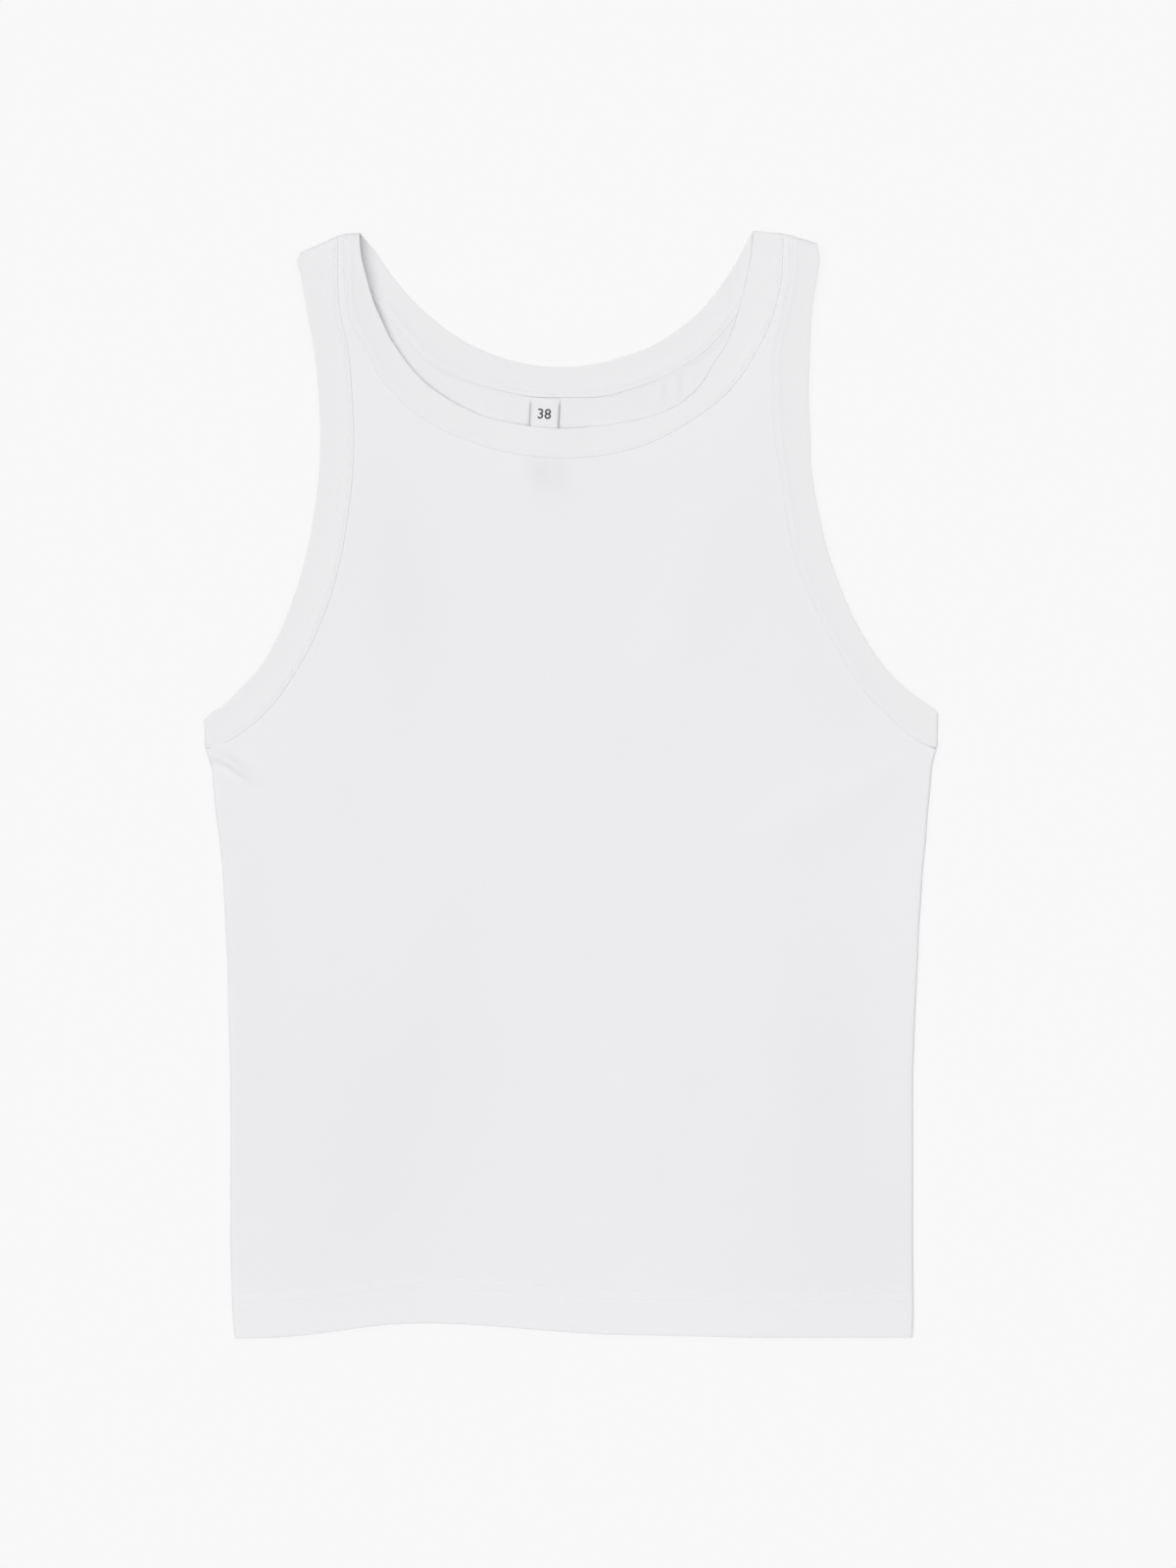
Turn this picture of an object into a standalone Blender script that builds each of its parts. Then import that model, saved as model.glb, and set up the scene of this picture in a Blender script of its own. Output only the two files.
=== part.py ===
"""A women's tank top in fine jersey, laid flat with its front up.

The back panel lies on the ground plane z = 0 and the front panel lies on it.
+X is the wearer's left, +Y runs from the hem to the shoulders, +Z is up.
The origin is the middle of the underside. Sizes are in metres; the tables are
in millimetres and are scaled where they are read.
"""

import math

import bpy
import numpy as np

MM = 0.001

# Walls and clearances
PANEL_WALL = 1.0 * MM
BINDING_WALL = 1.6 * MM
LABEL_WALL = 1.0 * MM
SEAM_GAP = 0.3 * MM
LAYER_STEP = PANEL_WALL + SEAM_GAP

# Height of the middle of the front cloth above the ground, in each region
BODY_LEVEL = 2.1 * MM
CHEST_LEVEL = 3.2 * MM
SIDE_LEVEL = 3.6 * MM
SHOULDER_LEVEL = 5.3 * MM
HEM_LEVEL = PANEL_WALL / 2 + 3 * LAYER_STEP + SEAM_GAP

# Where the front cloth climbs from one region's height to the next, in y
CHEST_RISE = (-60.0 * MM, 60.0 * MM)
SHOULDER_RISE = (205.0 * MM, 285.0 * MM)
SIDE_ROLL_END = (10.0 * MM, 45.0 * MM)
SIDE_ROLL_WIDTH = 16.0 * MM

# Hem: the depth that is turned up, and how far above the hem the rise fades out
HEM_DEPTH = 25.0 * MM
HEM_FADE = (28.0 * MM, 47.0 * MM)

# Height of the underarm, just below the armhole bindings, and the half width there
UNDERARM_Y = 18.6 * MM
HALF_WIDTH = 185.0 * MM

# How far inside a fold's outline its height is read
FOLD_READING = 3.0 * MM

# Bindings
BINDING_WIDTH = 17.0 * MM
BACK_ARMHOLE_INSET = 1.5 * MM
BINDING_EDGE_ROUND = 0.7 * MM

# Label: a woven loop pressed flat, hanging from the back neck seam
LABEL_WIDTH = 16.0 * MM
LABEL_LENGTH = 48.0 * MM
LABEL_TOP = (-14.2 * MM, 208.0 * MM)
LABEL_LEAN = math.radians(-3.0)

# The rise of the front over the label: its height, middle and half sizes
LABEL_RELIEF = 0.8 * MM
LABEL_RELIEF_Y = 173.0 * MM
LABEL_RELIEF_HALF_SIZES = (20.0 * MM, 28.0 * MM)

# How finely the shapes are divided
FOLD_ANGLES = np.radians([0.0, 30.0, 60.0, 90.0])
HEM_FOLD_ANGLES = np.radians([0.0, 60.0, 120.0, 180.0])
BODY_ROWS = 9
CHEST_ROWS = 9
STRAP_ROWS = 12
PANEL_COLUMNS = 9
CURVE_STEPS = 12

# The share of a row that its first columns take, at the underarm and the shoulder
EDGE_COLUMN_SHARES = (0.05, 0.25)

# The share of the armhole, from the shoulder, that stands beside the neck
STRAP_SHARE = 0.52

# Side seams: height, then the left and the right outline of the lying garment
SIDE_SEAMS = (
    # y       left    right
    (-299.5, -182.4, 185.0),
    (-286.5, -183.6, 185.6),
    (-254.6, -184.7, 185.2),
    (-159.1, -184.7, 185.2),
    (-127.2, -185.7, 186.3),
    (-95.4, -186.3, 187.9),
    (-79.5, -187.3, 188.4),
    (-63.6, -187.9, 189.5),
    (-47.6, -188.9, 190.5),
    (-31.7, -190.5, 192.1),
    (-15.8, -192.6, 193.2),
    (0.1, -194.2, 194.8),
    (8.1, -194.8, 195.3),
    (13.4, -196.4, 196.4),
    (18.6, -197.9, 197.9),
)

# Hem: the lowest line of the lying garment, left to right
HEM_LINE = (
    # x       y
    (-200.0, -300.0),
    (-163.0, -299.8),
    (-142.0, -298.0),
    (-120.0, -295.0),
    (-99.0, -292.4),
    (-78.0, -291.7),
    (-57.0, -292.3),
    (-36.0, -293.9),
    (-4.0, -296.5),
    (18.0, -297.8),
    (60.0, -298.6),
    (102.0, -299.7),
    (200.0, -299.6),
)

# Armhole bindings, from the shoulder fold to the underarm fold: the outer edge
# and, across from it, the seam to the panel
LEFT_ARMHOLE = (
    # edge x, edge y, seam x, seam y
    (-146.5, 288.2, -126.0, 296.8),
    (-148.3, 282.5, -126.0, 285.6),
    (-146.5, 276.1, -126.0, 275.0),
    (-142.8, 254.9, -125.0, 256.4),
    (-139.0, 233.6, -120.7, 236.3),
    (-136.9, 212.4, -118.6, 212.4),
    (-135.9, 191.2, -117.6, 191.2),
    (-136.4, 170.0, -118.1, 168.9),
    (-139.0, 148.7, -120.7, 146.6),
    (-142.8, 127.5, -124.2, 124.3),
    (-148.6, 106.3, -130.8, 99.9),
    (-156.6, 85.0, -140.6, 76.0),
    (-168.2, 63.8, -153.9, 53.2),
    (-177.8, 53.2, -165.6, 38.3),
    (-188.4, 42.6, -178.8, 27.5),
    (-196.4, 37.3, -189.5, 21.4),
    (-198.8, 34.6, -198.5, 19.0),
)
RIGHT_ARMHOLE = (
    # edge x, edge y, seam x, seam y
    (132.8, 293.2, 117.6, 297.6),
    (134.3, 284.6, 117.6, 285.6),
    (133.2, 276.1, 117.3, 276.1),
    (130.0, 254.9, 113.6, 256.4),
    (129.0, 233.6, 108.8, 235.2),
    (128.4, 212.4, 108.8, 212.4),
    (129.2, 191.2, 109.6, 189.6),
    (130.0, 170.0, 113.0, 167.8),
    (133.7, 148.7, 116.0, 146.1),
    (138.5, 127.5, 120.2, 124.3),
    (145.9, 106.3, 129.0, 102.0),
    (155.5, 85.0, 140.6, 78.1),
    (169.3, 63.8, 157.1, 51.6),
    (179.4, 53.2, 167.7, 40.5),
    (192.1, 43.6, 182.6, 26.7),
    (196.4, 40.7, 191.1, 21.4),
    (198.8, 38.3, 198.5, 19.5),
)

# Neck binding, from the left shoulder fold round to the right one
FRONT_NECK = (
    # edge x, edge y, seam x, seam y
    (-114.6, 298.6, -123.3, 298.4),
    (-115.2, 286.7, -123.5, 286.0),
    (-112.5, 270.8, -123.3, 271.0),
    (-109.3, 261.8, -122.8, 259.4),
    (-105.6, 251.7, -120.2, 248.6),
    (-101.4, 241.6, -115.4, 239.0),
    (-96.6, 235.2, -110.4, 230.9),
    (-90.7, 229.4, -105.1, 220.9),
    (-84.4, 223.3, -96.6, 211.9),
    (-75.9, 215.6, -87.6, 202.8),
    (-64.2, 207.1, -73.2, 193.3),
    (-49.4, 200.2, -55.7, 185.6),
    (-33.4, 195.9, -36.1, 179.8),
    (-9.6, 192.8, -9.6, 176.6),
    (11.7, 193.8, 13.3, 177.4),
    (30.2, 196.5, 31.8, 181.1),
    (43.5, 199.4, 45.6, 185.9),
    (56.8, 205.0, 60.5, 193.8),
    (64.2, 210.3, 71.6, 201.3),
    (70.1, 216.1, 81.7, 209.2),
    (74.8, 223.5, 89.7, 217.7),
    (79.6, 231.5, 96.1, 226.7),
    (84.4, 238.9, 101.4, 236.3),
    (88.6, 249.6, 106.7, 246.4),
    (92.3, 262.8, 111.4, 260.7),
    (95.5, 276.1, 114.1, 274.5),
    (97.6, 287.7, 114.8, 286.7),
    (98.8, 300.0, 114.9, 298.6),
)
BACK_NECK = (
    # edge x, edge y, seam x, seam y
    (-114.6, 298.6, -123.3, 298.4),
    (-107.7, 289.9, -119.9, 280.3),
    (-97.1, 275.6, -109.9, 265.0),
    (-86.5, 262.8, -98.2, 251.7),
    (-75.9, 253.8, -86.5, 241.0),
    (-65.3, 244.8, -74.3, 230.5),
    (-54.7, 237.9, -61.6, 223.0),
    (-44.0, 233.6, -48.3, 216.7),
    (-33.4, 229.4, -35.0, 212.4),
    (-18.6, 227.3, -20.2, 209.8),
    (-1.6, 226.2, -1.6, 209.5),
    (15.4, 228.3, 18.6, 210.3),
    (30.2, 232.6, 35.6, 215.1),
    (40.9, 236.3, 47.2, 219.3),
    (51.5, 242.1, 60.0, 226.2),
    (62.1, 249.6, 72.7, 234.7),
    (72.7, 260.2, 84.4, 247.4),
    (83.3, 274.0, 96.1, 263.9),
    (91.3, 287.8, 107.4, 279.5),
    (95.0, 294.1, 113.6, 290.0),
    (98.8, 300.0, 114.9, 298.6),
)
FRONT_NECK_CENTRE_ROW = 13
BACK_NECK_CENTRE_ROW = 10

# Soft ridges in the front, where the jersey doesn't lie quite flat
RIDGES = (
    # x      y      half length, half width, direction, height
    (-104.0, 108.0, 62.0, 17.0, 96.0, 1.5),
    (-20.0, 82.0, 78.0, 26.0, 118.0, 1.4),
    (62.0, 96.0, 58.0, 19.0, 74.0, 1.3),
    (124.0, 62.0, 40.0, 18.0, 128.0, 1.6),
    (-142.0, 12.0, 44.0, 13.0, -30.0, 1.8),
    (144.0, -8.0, 46.0, 15.0, 24.0, 1.5),
    (-92.0, -118.0, 96.0, 30.0, 74.0, 1.7),
    (-8.0, -92.0, 74.0, 34.0, 100.0, 0.9),
    (38.0, -196.0, 70.0, 26.0, 84.0, 1.2),
    (118.0, -150.0, 92.0, 24.0, 98.0, 1.6),
)

# Finishes: name, colour, roughness
JERSEY = ("white_jersey", (0.83, 0.83, 0.85, 1.0), 0.92)
BINDING = ("white_binding_jersey", (0.85, 0.85, 0.86, 1.0), 0.9)
WOVEN_LABEL = ("white_woven_label", (0.88, 0.88, 0.87, 1.0), 0.7)


def start_empty():
    """Remove whatever objects the file opened with."""
    for old in list(bpy.data.objects):
        bpy.data.objects.remove(old, do_unlink=True)


def finish_material(finish):
    """A Principled material from a finish's name, colour and roughness."""
    name, colour, roughness = finish
    material = bpy.data.materials.new(name)
    material.use_nodes = True
    shader = material.node_tree.nodes["Principled BSDF"]
    shader.inputs["Base Color"].default_value = colour
    shader.inputs["Roughness"].default_value = roughness
    shader.inputs["Metallic"].default_value = 0.0
    material.diffuse_color = colour
    return material


def columns(rows):
    """The columns of a table of millimetres, as arrays of metres."""
    return tuple(np.array(column) * MM for column in zip(*rows))


def smooth_line(points, spacing_power=0.5):
    """A dense smooth line through the points (centripetal Catmull-Rom)."""
    ends = np.vstack([2 * points[0] - points[1], points, 2 * points[-1] - points[-2]])
    pieces = []
    for before, start, end, after in zip(ends, ends[1:], ends[2:], ends[3:]):
        knots = [0.0]
        for a, b in ((before, start), (start, end), (end, after)):
            knots.append(knots[-1] + np.linalg.norm(b - a) ** spacing_power)
        t = np.linspace(knots[1], knots[2], CURVE_STEPS, endpoint=False)[:, None]

        def blend(p, q, lo, hi):
            return ((hi - t) * p + (t - lo) * q) / (hi - lo)

        first = blend(before, start, knots[0], knots[1])
        middle = blend(start, end, knots[1], knots[2])
        last = blend(end, after, knots[2], knots[3])
        left = blend(first, middle, knots[0], knots[2])
        right = blend(middle, last, knots[1], knots[3])
        pieces.append(blend(left, right, knots[1], knots[2]))
    return np.vstack(pieces + [points[-1:]])


def along(line, distances):
    """Points at the given distances along a line."""
    run = np.concatenate([[0.0], np.cumsum(np.linalg.norm(np.diff(line, axis=0), axis=1))])
    return np.column_stack([np.interp(distances, run, line[:, axis]) for axis in (0, 1)])


def line_length(line):
    """The length of a line."""
    return np.linalg.norm(np.diff(line, axis=0), axis=1).sum()


def hem_height(x):
    """The y of the hem's lowest line at x."""
    hem_x, hem_y = columns(HEM_LINE)
    return np.interp(x, hem_x, hem_y)


def side_line(y, side):
    """The x of the side seam's outline at y; side is -1 on the left, 1 on the right."""
    seam_y, left, right = columns(SIDE_SEAMS)
    return np.interp(y, seam_y, left if side < 0 else right)


def unit(vectors):
    """Vectors of length one."""
    return vectors / np.linalg.norm(vectors, axis=-1, keepdims=True)


def ramp(value, start, end):
    """0 before start, 1 after end and a smooth S between them."""
    t = np.clip((value - start) / (end - start), 0.0, 1.0)
    return t * t * (3 - 2 * t)


def front_level(x, y):
    """Height of the middle of the front cloth: body, chest, shoulders, sides, hem, ridges."""
    level = BODY_LEVEL + (CHEST_LEVEL - BODY_LEVEL) * ramp(y, *CHEST_RISE)
    level = level + (SHOULDER_LEVEL - CHEST_LEVEL) * ramp(y, *SHOULDER_RISE)
    side_gap = np.minimum(x - side_line(y, -1), side_line(y, 1) - x)
    at_side = np.exp(-((side_gap / SIDE_ROLL_WIDTH) ** 2)) * (1 - ramp(y, *SIDE_ROLL_END))
    level = level + (SIDE_LEVEL - level) * at_side
    for ridge_x, ridge_y, half_length, half_width, direction, height in RIDGES:
        turn = math.radians(direction)
        right = x - ridge_x * MM
        up = y - ridge_y * MM
        lengthwise = (right * math.cos(turn) + up * math.sin(turn)) / (half_length * MM)
        across = (up * math.cos(turn) - right * math.sin(turn)) / (half_width * MM)
        level = level + height * MM * np.exp(-lengthwise**2 - across**2)
    half_width, half_height = LABEL_RELIEF_HALF_SIZES
    aside = (x - LABEL_TOP[0]) / half_width
    above = (y - LABEL_RELIEF_Y) / half_height
    level = level + LABEL_RELIEF * np.exp(-(aside**2) - above**2)
    in_hem = 1 - ramp(y - hem_height(x), *HEM_FADE)
    return level + (np.maximum(HEM_LEVEL, level) - level) * in_hem


def fold_radius(top, wall):
    """Radius of the fold between a front cloth at height top and the back cloth."""
    return (top - wall / 2) / 2


class Cloth:
    """The front or the back cloth: its height, and how it runs round a fold.

    At a fold the two cloths meet half way up. Each turns a quarter circle whose
    radius is half the height between them.
    """

    def __init__(self, side):
        self.side = side

    def level(self, x, y, wall):
        """Height of the cloth's middle away from the folds."""
        if self.side > 0:
            return front_level(x, y)
        return np.full(np.shape(x), wall / 2)

    def turn(self, top, wall, angles, gap, drop=0.0):
        """Heights round a fold: half a gap off its centre, then up or down by a sine."""
        radius = fold_radius(top, wall)
        reach = radius - drop - gap / 2
        return top - radius + self.side * (gap / 2 + reach * np.sin(angles))


FRONT = Cloth(1)
BACK = Cloth(-1)


class Strip:
    """Half of a binding on one cloth, from the shoulder fold on.

    edge and seam are dense plan lines of its two long sides. Stations stand at
    the fold's angles, then at the given shares of the way, and where the far end
    is a fold too, at its angles again. Round a fold the distance from the
    outline grows as half the wall plus radius * (1 - cos(angle)).
    """

    def __init__(self, cloth, edge, seam, shares, far_fold):
        self.lines = []
        turned = 1 - np.cos(FOLD_ANGLES)
        count = len(FOLD_ANGLES)
        for line in (edge, seam):
            length = line_length(line)
            near_top = front_level(*along(line, [FOLD_READING])[0])
            near = BINDING_WALL / 2 + fold_radius(near_top, BINDING_WALL) * turned
            far = np.array([length])
            if far_fold:
                far_top = front_level(*along(line, [length - FOLD_READING])[0])
                far = length - BINDING_WALL / 2 - fold_radius(far_top, BINDING_WALL) * turned[::-1]
            between = near[-1] + (far[0] - near[-1]) * shares[1:-1]
            plan = along(line, np.concatenate([near, between, far]))
            height = cloth.level(plan[:, 0], plan[:, 1], BINDING_WALL)
            height[:count] = cloth.turn(near_top, BINDING_WALL, FOLD_ANGLES, 0.0)
            if far_fold:
                height[-count:] = cloth.turn(far_top, BINDING_WALL, FOLD_ANGLES[::-1], 0.0)
            self.lines.append(np.column_stack([plan, height]))
        across = (self.lines[1] - self.lines[0])[:, :2]
        run = np.gradient(self.lines[1][:, :2], axis=0)
        square = unit(np.column_stack([-run[:, 1], run[:, 0]]))
        if not far_fold:
            square[-1] = unit(across[-1])
        towards_panel = np.sign((square * across).sum(axis=1))[:, None] * square
        self.towards_panel = np.column_stack([towards_panel, np.zeros(len(square))])

    def section(self):
        """At each station, four middle points from the edge to the seam, and the way on."""
        edge, seam = self.lines
        seam = seam - self.towards_panel * SEAM_GAP / 2
        shares = (0.0, BINDING_EDGE_ROUND / BINDING_WIDTH, 0.5, 1.0)
        middle = [edge + (seam - edge) * share for share in shares]
        return np.stack(middle + [self.towards_panel], axis=1)

    def panel_edge(self):
        """Plan points of the panel's own edge, half a gap beyond the seam."""
        return (self.lines[1] + self.towards_panel * SEAM_GAP / 2)[:, :2]


def closed_body(name, points, faces, finish):
    """An object with its finish, from the points and faces of a closed body.

    Faces that came out facing in (a negative volume) are turned round.
    """
    mesh = bpy.data.meshes.new(name)
    mesh.from_pydata(points.tolist(), [], faces.tolist())
    mesh.update()
    mesh.calc_loop_triangles()
    corners = np.array([triangle.vertices[:] for triangle in mesh.loop_triangles])
    a, b, c = (points[corners[:, corner]] for corner in range(3))
    if (a * np.cross(b, c)).sum() < 0:
        mesh.flip_normals()
    mesh.materials.append(finish_material(finish))
    mesh.shade_smooth()
    mesh.set_sharp_from_angle(angle=math.radians(50))
    part = bpy.data.objects.new(name, mesh)
    bpy.context.scene.collection.objects.link(part)
    return part


def binding(name, front, back, finish):
    """A binding: a closed ring whose flat section has one rounded edge.

    The front sections are followed by the back ones, so that the ring turns over
    at both folds. The section goes over the top, down the seam side and back.
    """
    sections = np.vstack([front, back[::-1][1:-1]])
    middle = sections[:, :-1]
    lengthwise = np.roll(middle, -1, axis=0) - np.roll(middle, 1, axis=0)
    crosswise = np.gradient(middle, axis=1)
    crosswise[:, -1] = sections[:, -1]
    offset = unit(np.cross(lengthwise, crosswise)) * BINDING_WALL / 2
    above = (middle + offset)[:, 1:]
    below = (middle - offset)[:, :0:-1]
    section = np.concatenate([middle[:, :1], above, below], axis=1)
    points = section.reshape(-1, 3)
    points[:, 2] = np.maximum(points[:, 2], 0.0)
    index = np.arange(len(points)).reshape(section.shape[:2])
    after = np.roll(index, -1, axis=0)
    beside = np.roll(index, -1, axis=1)
    faces = np.stack([index, after, np.roll(after, -1, axis=1), beside], axis=-1)
    return closed_body(name, points, faces.reshape(-1, 4), finish)


def neck_sections(left, right):
    """The sections of both halves of the neck, from the left shoulder to the right."""
    return np.vstack([left.section(), right.section()[::-1][1:]])


def grid_faces(shape):
    """The four-cornered faces between a grid's points, row by row."""
    index = np.arange(shape[0] * shape[1]).reshape(shape)
    quads = [index[:-1, :-1], index[1:, :-1], index[1:, 1:], index[:-1, 1:]]
    return np.stack(quads, axis=-1).reshape(-1, 4)


def walled(name, middle, faces, wall, known, finish):
    """A closed body: a wall of even thickness on both sides of a middle surface.

    The wall is measured square to the faces, or along the known directions where
    there are any: round a fold, so that the cloths meet face to face.
    """
    corner = middle[faces]
    face_normal = np.cross(corner[:, 2] - corner[:, 0], corner[:, 3] - corner[:, 1])
    normal = np.zeros_like(middle)
    for column in range(4):
        np.add.at(normal, faces[:, column], face_normal)
    is_known = np.isfinite(known[:, 0])
    normal[is_known] = known[is_known]
    offset = unit(normal) * wall / 2
    points = np.vstack([middle + offset, middle - offset])
    points[:, 2] = np.maximum(points[:, 2], 0.0)
    count = len(middle)
    edges = np.concatenate([faces[:, [k, (k + 1) % 4]] for k in range(4)])
    keys = np.sort(edges, axis=1)
    _, first, uses = np.unique(keys, axis=0, return_index=True, return_counts=True)
    rim = edges[first[uses == 1]]
    sides = np.column_stack([rim[:, 1], rim[:, 0], rim[:, 0] + count, rim[:, 1] + count])
    every_face = np.vstack([faces, faces[:, ::-1] + count, sides])
    return closed_body(name, points, every_face, finish)


def panel_half(cloth, side, armhole, neck):
    """Half a panel: a grid of middle points and their wall directions on the folds.

    Rows run from the top of the turned-up hem round the hem, up the side and up
    the armhole to the shoulder. Columns run from the side or the armhole to the
    centre line, or above its foot to the neck seam. Off the folds the directions
    are left as nan.
    """
    wall = PANEL_WALL
    folds = len(FOLD_ANGLES)
    shares = np.linspace(0.0, 1.0, PANEL_COLUMNS + 1)[1:]
    neck_edge = neck.panel_edge()[::-1]
    centre_x, neck_y = neck_edge[0]
    rows = []
    directions = []
    unknown = np.full((folds + PANEL_COLUMNS, 3), np.nan)

    def body_row(height_of_row, bend_angle=math.pi):
        """A row across the body: round the side fold and on to the centre line.

        bend_angle is how far the row has come round the hem fold: 0 on the
        turned-up layer, pi on the outer layer, a layer's step above it.
        """
        drop = LAYER_STEP * (1 + math.cos(bend_angle)) / 2
        seam_y = height_of_row(side * HALF_WIDTH)
        outline = side_line(seam_y, side)
        top = front_level(outline - side * FOLD_READING, seam_y)
        radius = fold_radius(top, wall)
        axis = outline - side * (wall / 2 + radius)
        turn_x = axis + side * (radius - drop) * np.cos(FOLD_ANGLES)
        turn_z = cloth.turn(top, wall, FOLD_ANGLES, SEAM_GAP, drop)
        flat_x = axis + (centre_x - axis) * shares
        flat_z = cloth.level(flat_x, height_of_row(flat_x), wall) - cloth.side * drop
        x = np.concatenate([turn_x, flat_x])
        rows.append(np.column_stack([x, height_of_row(x), np.concatenate([turn_z, flat_z])]))
        turning = FOLD_ANGLES[:-1]
        direction = unknown.copy()
        direction[: folds - 1, 0] = -cloth.side * side * math.cos(bend_angle) * np.cos(turning)
        direction[: folds - 1, 1] = -cloth.side * math.sin(bend_angle)
        direction[: folds - 1, 2] = -math.cos(bend_angle) * np.sin(turning)
        directions.append(direction)

    # the turned-up layer, round the hem fold, and up to the hem's stitching
    for rise in (HEM_DEPTH, HEM_DEPTH / 2):
        body_row(lambda x, rise=rise: hem_height(x) + rise, 0.0)
    for angle in HEM_FOLD_ANGLES:
        rise = wall / 2 + LAYER_STEP / 2 * (1 - math.sin(angle))
        body_row(lambda x, rise=rise: hem_height(x) + rise, angle)
    for rise in (HEM_DEPTH / 2, HEM_DEPTH):
        body_row(lambda x, rise=rise: hem_height(x) + rise)

    # up the body, where the wave of the hem fades out
    for share in np.linspace(0.0, 1.0, BODY_ROWS + 1)[1:]:
        body_row(lambda x, up=share: (hem_height(x) + HEM_DEPTH) * (1 - up) + UNDERARM_Y * up)

    # up the armhole, first to the centre line and then to the neck seam
    outer = armhole.panel_edge()[::-1][folds - 1:]
    chest_y = np.linspace(UNDERARM_Y, neck_y, CHEST_ROWS + 2)[1:]
    centre_line = np.column_stack([np.full(len(chest_y), centre_x), chest_y])
    inner = np.vstack([centre_line, neck_edge[1:]])
    last = len(outer)
    shoulder_top = front_level(*outer[last - folds])
    narrow, wide = EDGE_COLUMN_SHARES
    for number in range(last):
        margin = narrow + (wide - narrow) * ramp(number, 0, last)
        steps = np.concatenate([np.linspace(0, margin, folds), margin + (1 - margin) * shares])
        plan = outer[number] + (inner[number] - outer[number]) * steps[:, None]
        height = cloth.level(plan[:, 0], plan[:, 1], wall)
        direction = unknown.copy()
        if number > last - folds:
            angle = FOLD_ANGLES[last - 1 - number]
            height[:] = cloth.turn(shoulder_top, wall, angle, SEAM_GAP)
            direction[:] = (0.0, cloth.side * math.cos(angle), math.sin(angle))
        rows.append(np.column_stack([plan, height]))
        directions.append(direction)
    return np.stack(rows), np.stack(directions)


def panel(name, cloth, armholes, necks, finish):
    """A front or back panel: two halves that share the centre line below the neck."""
    points = []
    directions = []
    faces = []
    for side, armhole, neck in zip((-1, 1), armholes, necks):
        grid, direction = panel_half(cloth, side, armhole, neck)
        first = sum(len(part) for part in points)
        faces.append(grid_faces(grid.shape[:2])[:, ::side] + first)
        points.append(grid.reshape(-1, 3))
        directions.append(direction.reshape(-1, 3))
    points = np.vstack(points)
    known = np.vstack(directions)
    rounded = np.round(points / MM, 4)
    _, keep, merged = np.unique(rounded, axis=0, return_index=True, return_inverse=True)
    faces = merged.ravel()[np.vstack(faces)]
    return walled(name, points[keep], faces, PANEL_WALL, known[keep], finish)


def label(finish):
    """The woven label: a flat loop on the back panel, under the back neck seam."""
    across = np.linspace(-0.5, 0.5, 5) * LABEL_WIDTH
    down = np.linspace(0.0, 1.0, 9) * LABEL_LENGTH
    right, drop = np.meshgrid(across, down)
    top_x, top_y = LABEL_TOP
    x = top_x + right * math.cos(LABEL_LEAN) + drop * math.sin(LABEL_LEAN)
    y = top_y + right * math.sin(LABEL_LEAN) - drop * math.cos(LABEL_LEAN)
    z = np.full(x.shape, PANEL_WALL + SEAM_GAP + LABEL_WALL / 2)
    points = np.stack([x, y, z], axis=-1).reshape(-1, 3)
    upwards = np.tile([0.0, 0.0, 1.0], (len(points), 1))
    return walled("neck_label", points, grid_faces(x.shape), LABEL_WALL, upwards, finish)


def armhole_strip(cloth, rows, inset):
    """The strip of an armhole binding on one cloth, its edge moved in by inset."""
    edge_x, edge_y, seam_x, seam_y = columns(rows)
    edge = np.column_stack([edge_x, edge_y])
    seam = np.column_stack([seam_x, seam_y])
    edge[1:-1] += unit(seam - edge)[1:-1] * inset
    strap = np.linspace(0.0, STRAP_SHARE, STRAP_ROWS + 1)
    chest = np.linspace(STRAP_SHARE, 1.0, CHEST_ROWS + 1)
    shares = np.concatenate([strap, chest[1:]])
    return Strip(cloth, smooth_line(edge), smooth_line(seam), shares, True)


def neck_strips(cloth, rows, centre_row):
    """The left and right strips of the neck binding on one cloth."""
    edge_x, edge_y, seam_x, seam_y = columns(rows)
    edge = smooth_line(np.column_stack([edge_x, edge_y]))
    seam = smooth_line(np.column_stack([seam_x, seam_y]))
    shares = np.linspace(0.0, 1.0, STRAP_ROWS + 1)
    middle = centre_row * CURVE_STEPS
    left = Strip(cloth, edge[: middle + 1], seam[: middle + 1], shares, False)
    right = Strip(cloth, edge[middle:][::-1], seam[middle:][::-1], shares, False)
    return left, right


def build():
    """The whole garment."""
    start_empty()
    front_arms = [armhole_strip(FRONT, rows, 0.0) for rows in (LEFT_ARMHOLE, RIGHT_ARMHOLE)]
    back_arms = [
        armhole_strip(BACK, rows, BACK_ARMHOLE_INSET) for rows in (LEFT_ARMHOLE, RIGHT_ARMHOLE)
    ]
    front_necks = neck_strips(FRONT, FRONT_NECK, FRONT_NECK_CENTRE_ROW)
    back_necks = neck_strips(BACK, BACK_NECK, BACK_NECK_CENTRE_ROW)
    panel("back_panel", BACK, back_arms, back_necks, JERSEY)
    panel("front_panel", FRONT, front_arms, front_necks, JERSEY)
    binding("neck_binding", neck_sections(*front_necks), neck_sections(*back_necks), BINDING)
    for name, front, back in zip(("left", "right"), front_arms, back_arms):
        binding(f"armhole_binding_{name}", front.section(), back.section(), BINDING)
    label(WOVEN_LABEL)


build()
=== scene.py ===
# %% [markdown]
# # A jersey tank top, laid flat
#
# This script dresses a plain solid model of a tank top: each solid wall becomes a
# thin sheet of white jersey with its folds, creases, stitches and knit. The solids
# stay where they are and each sheet stands for one of them.
#
# Every surface here is a grid of points worked out with numpy, a function of how
# far one is along a piece and across it. That keeps the sewing exact: two pieces
# that meet at a seam are worked out from the same line.

import math

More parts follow.
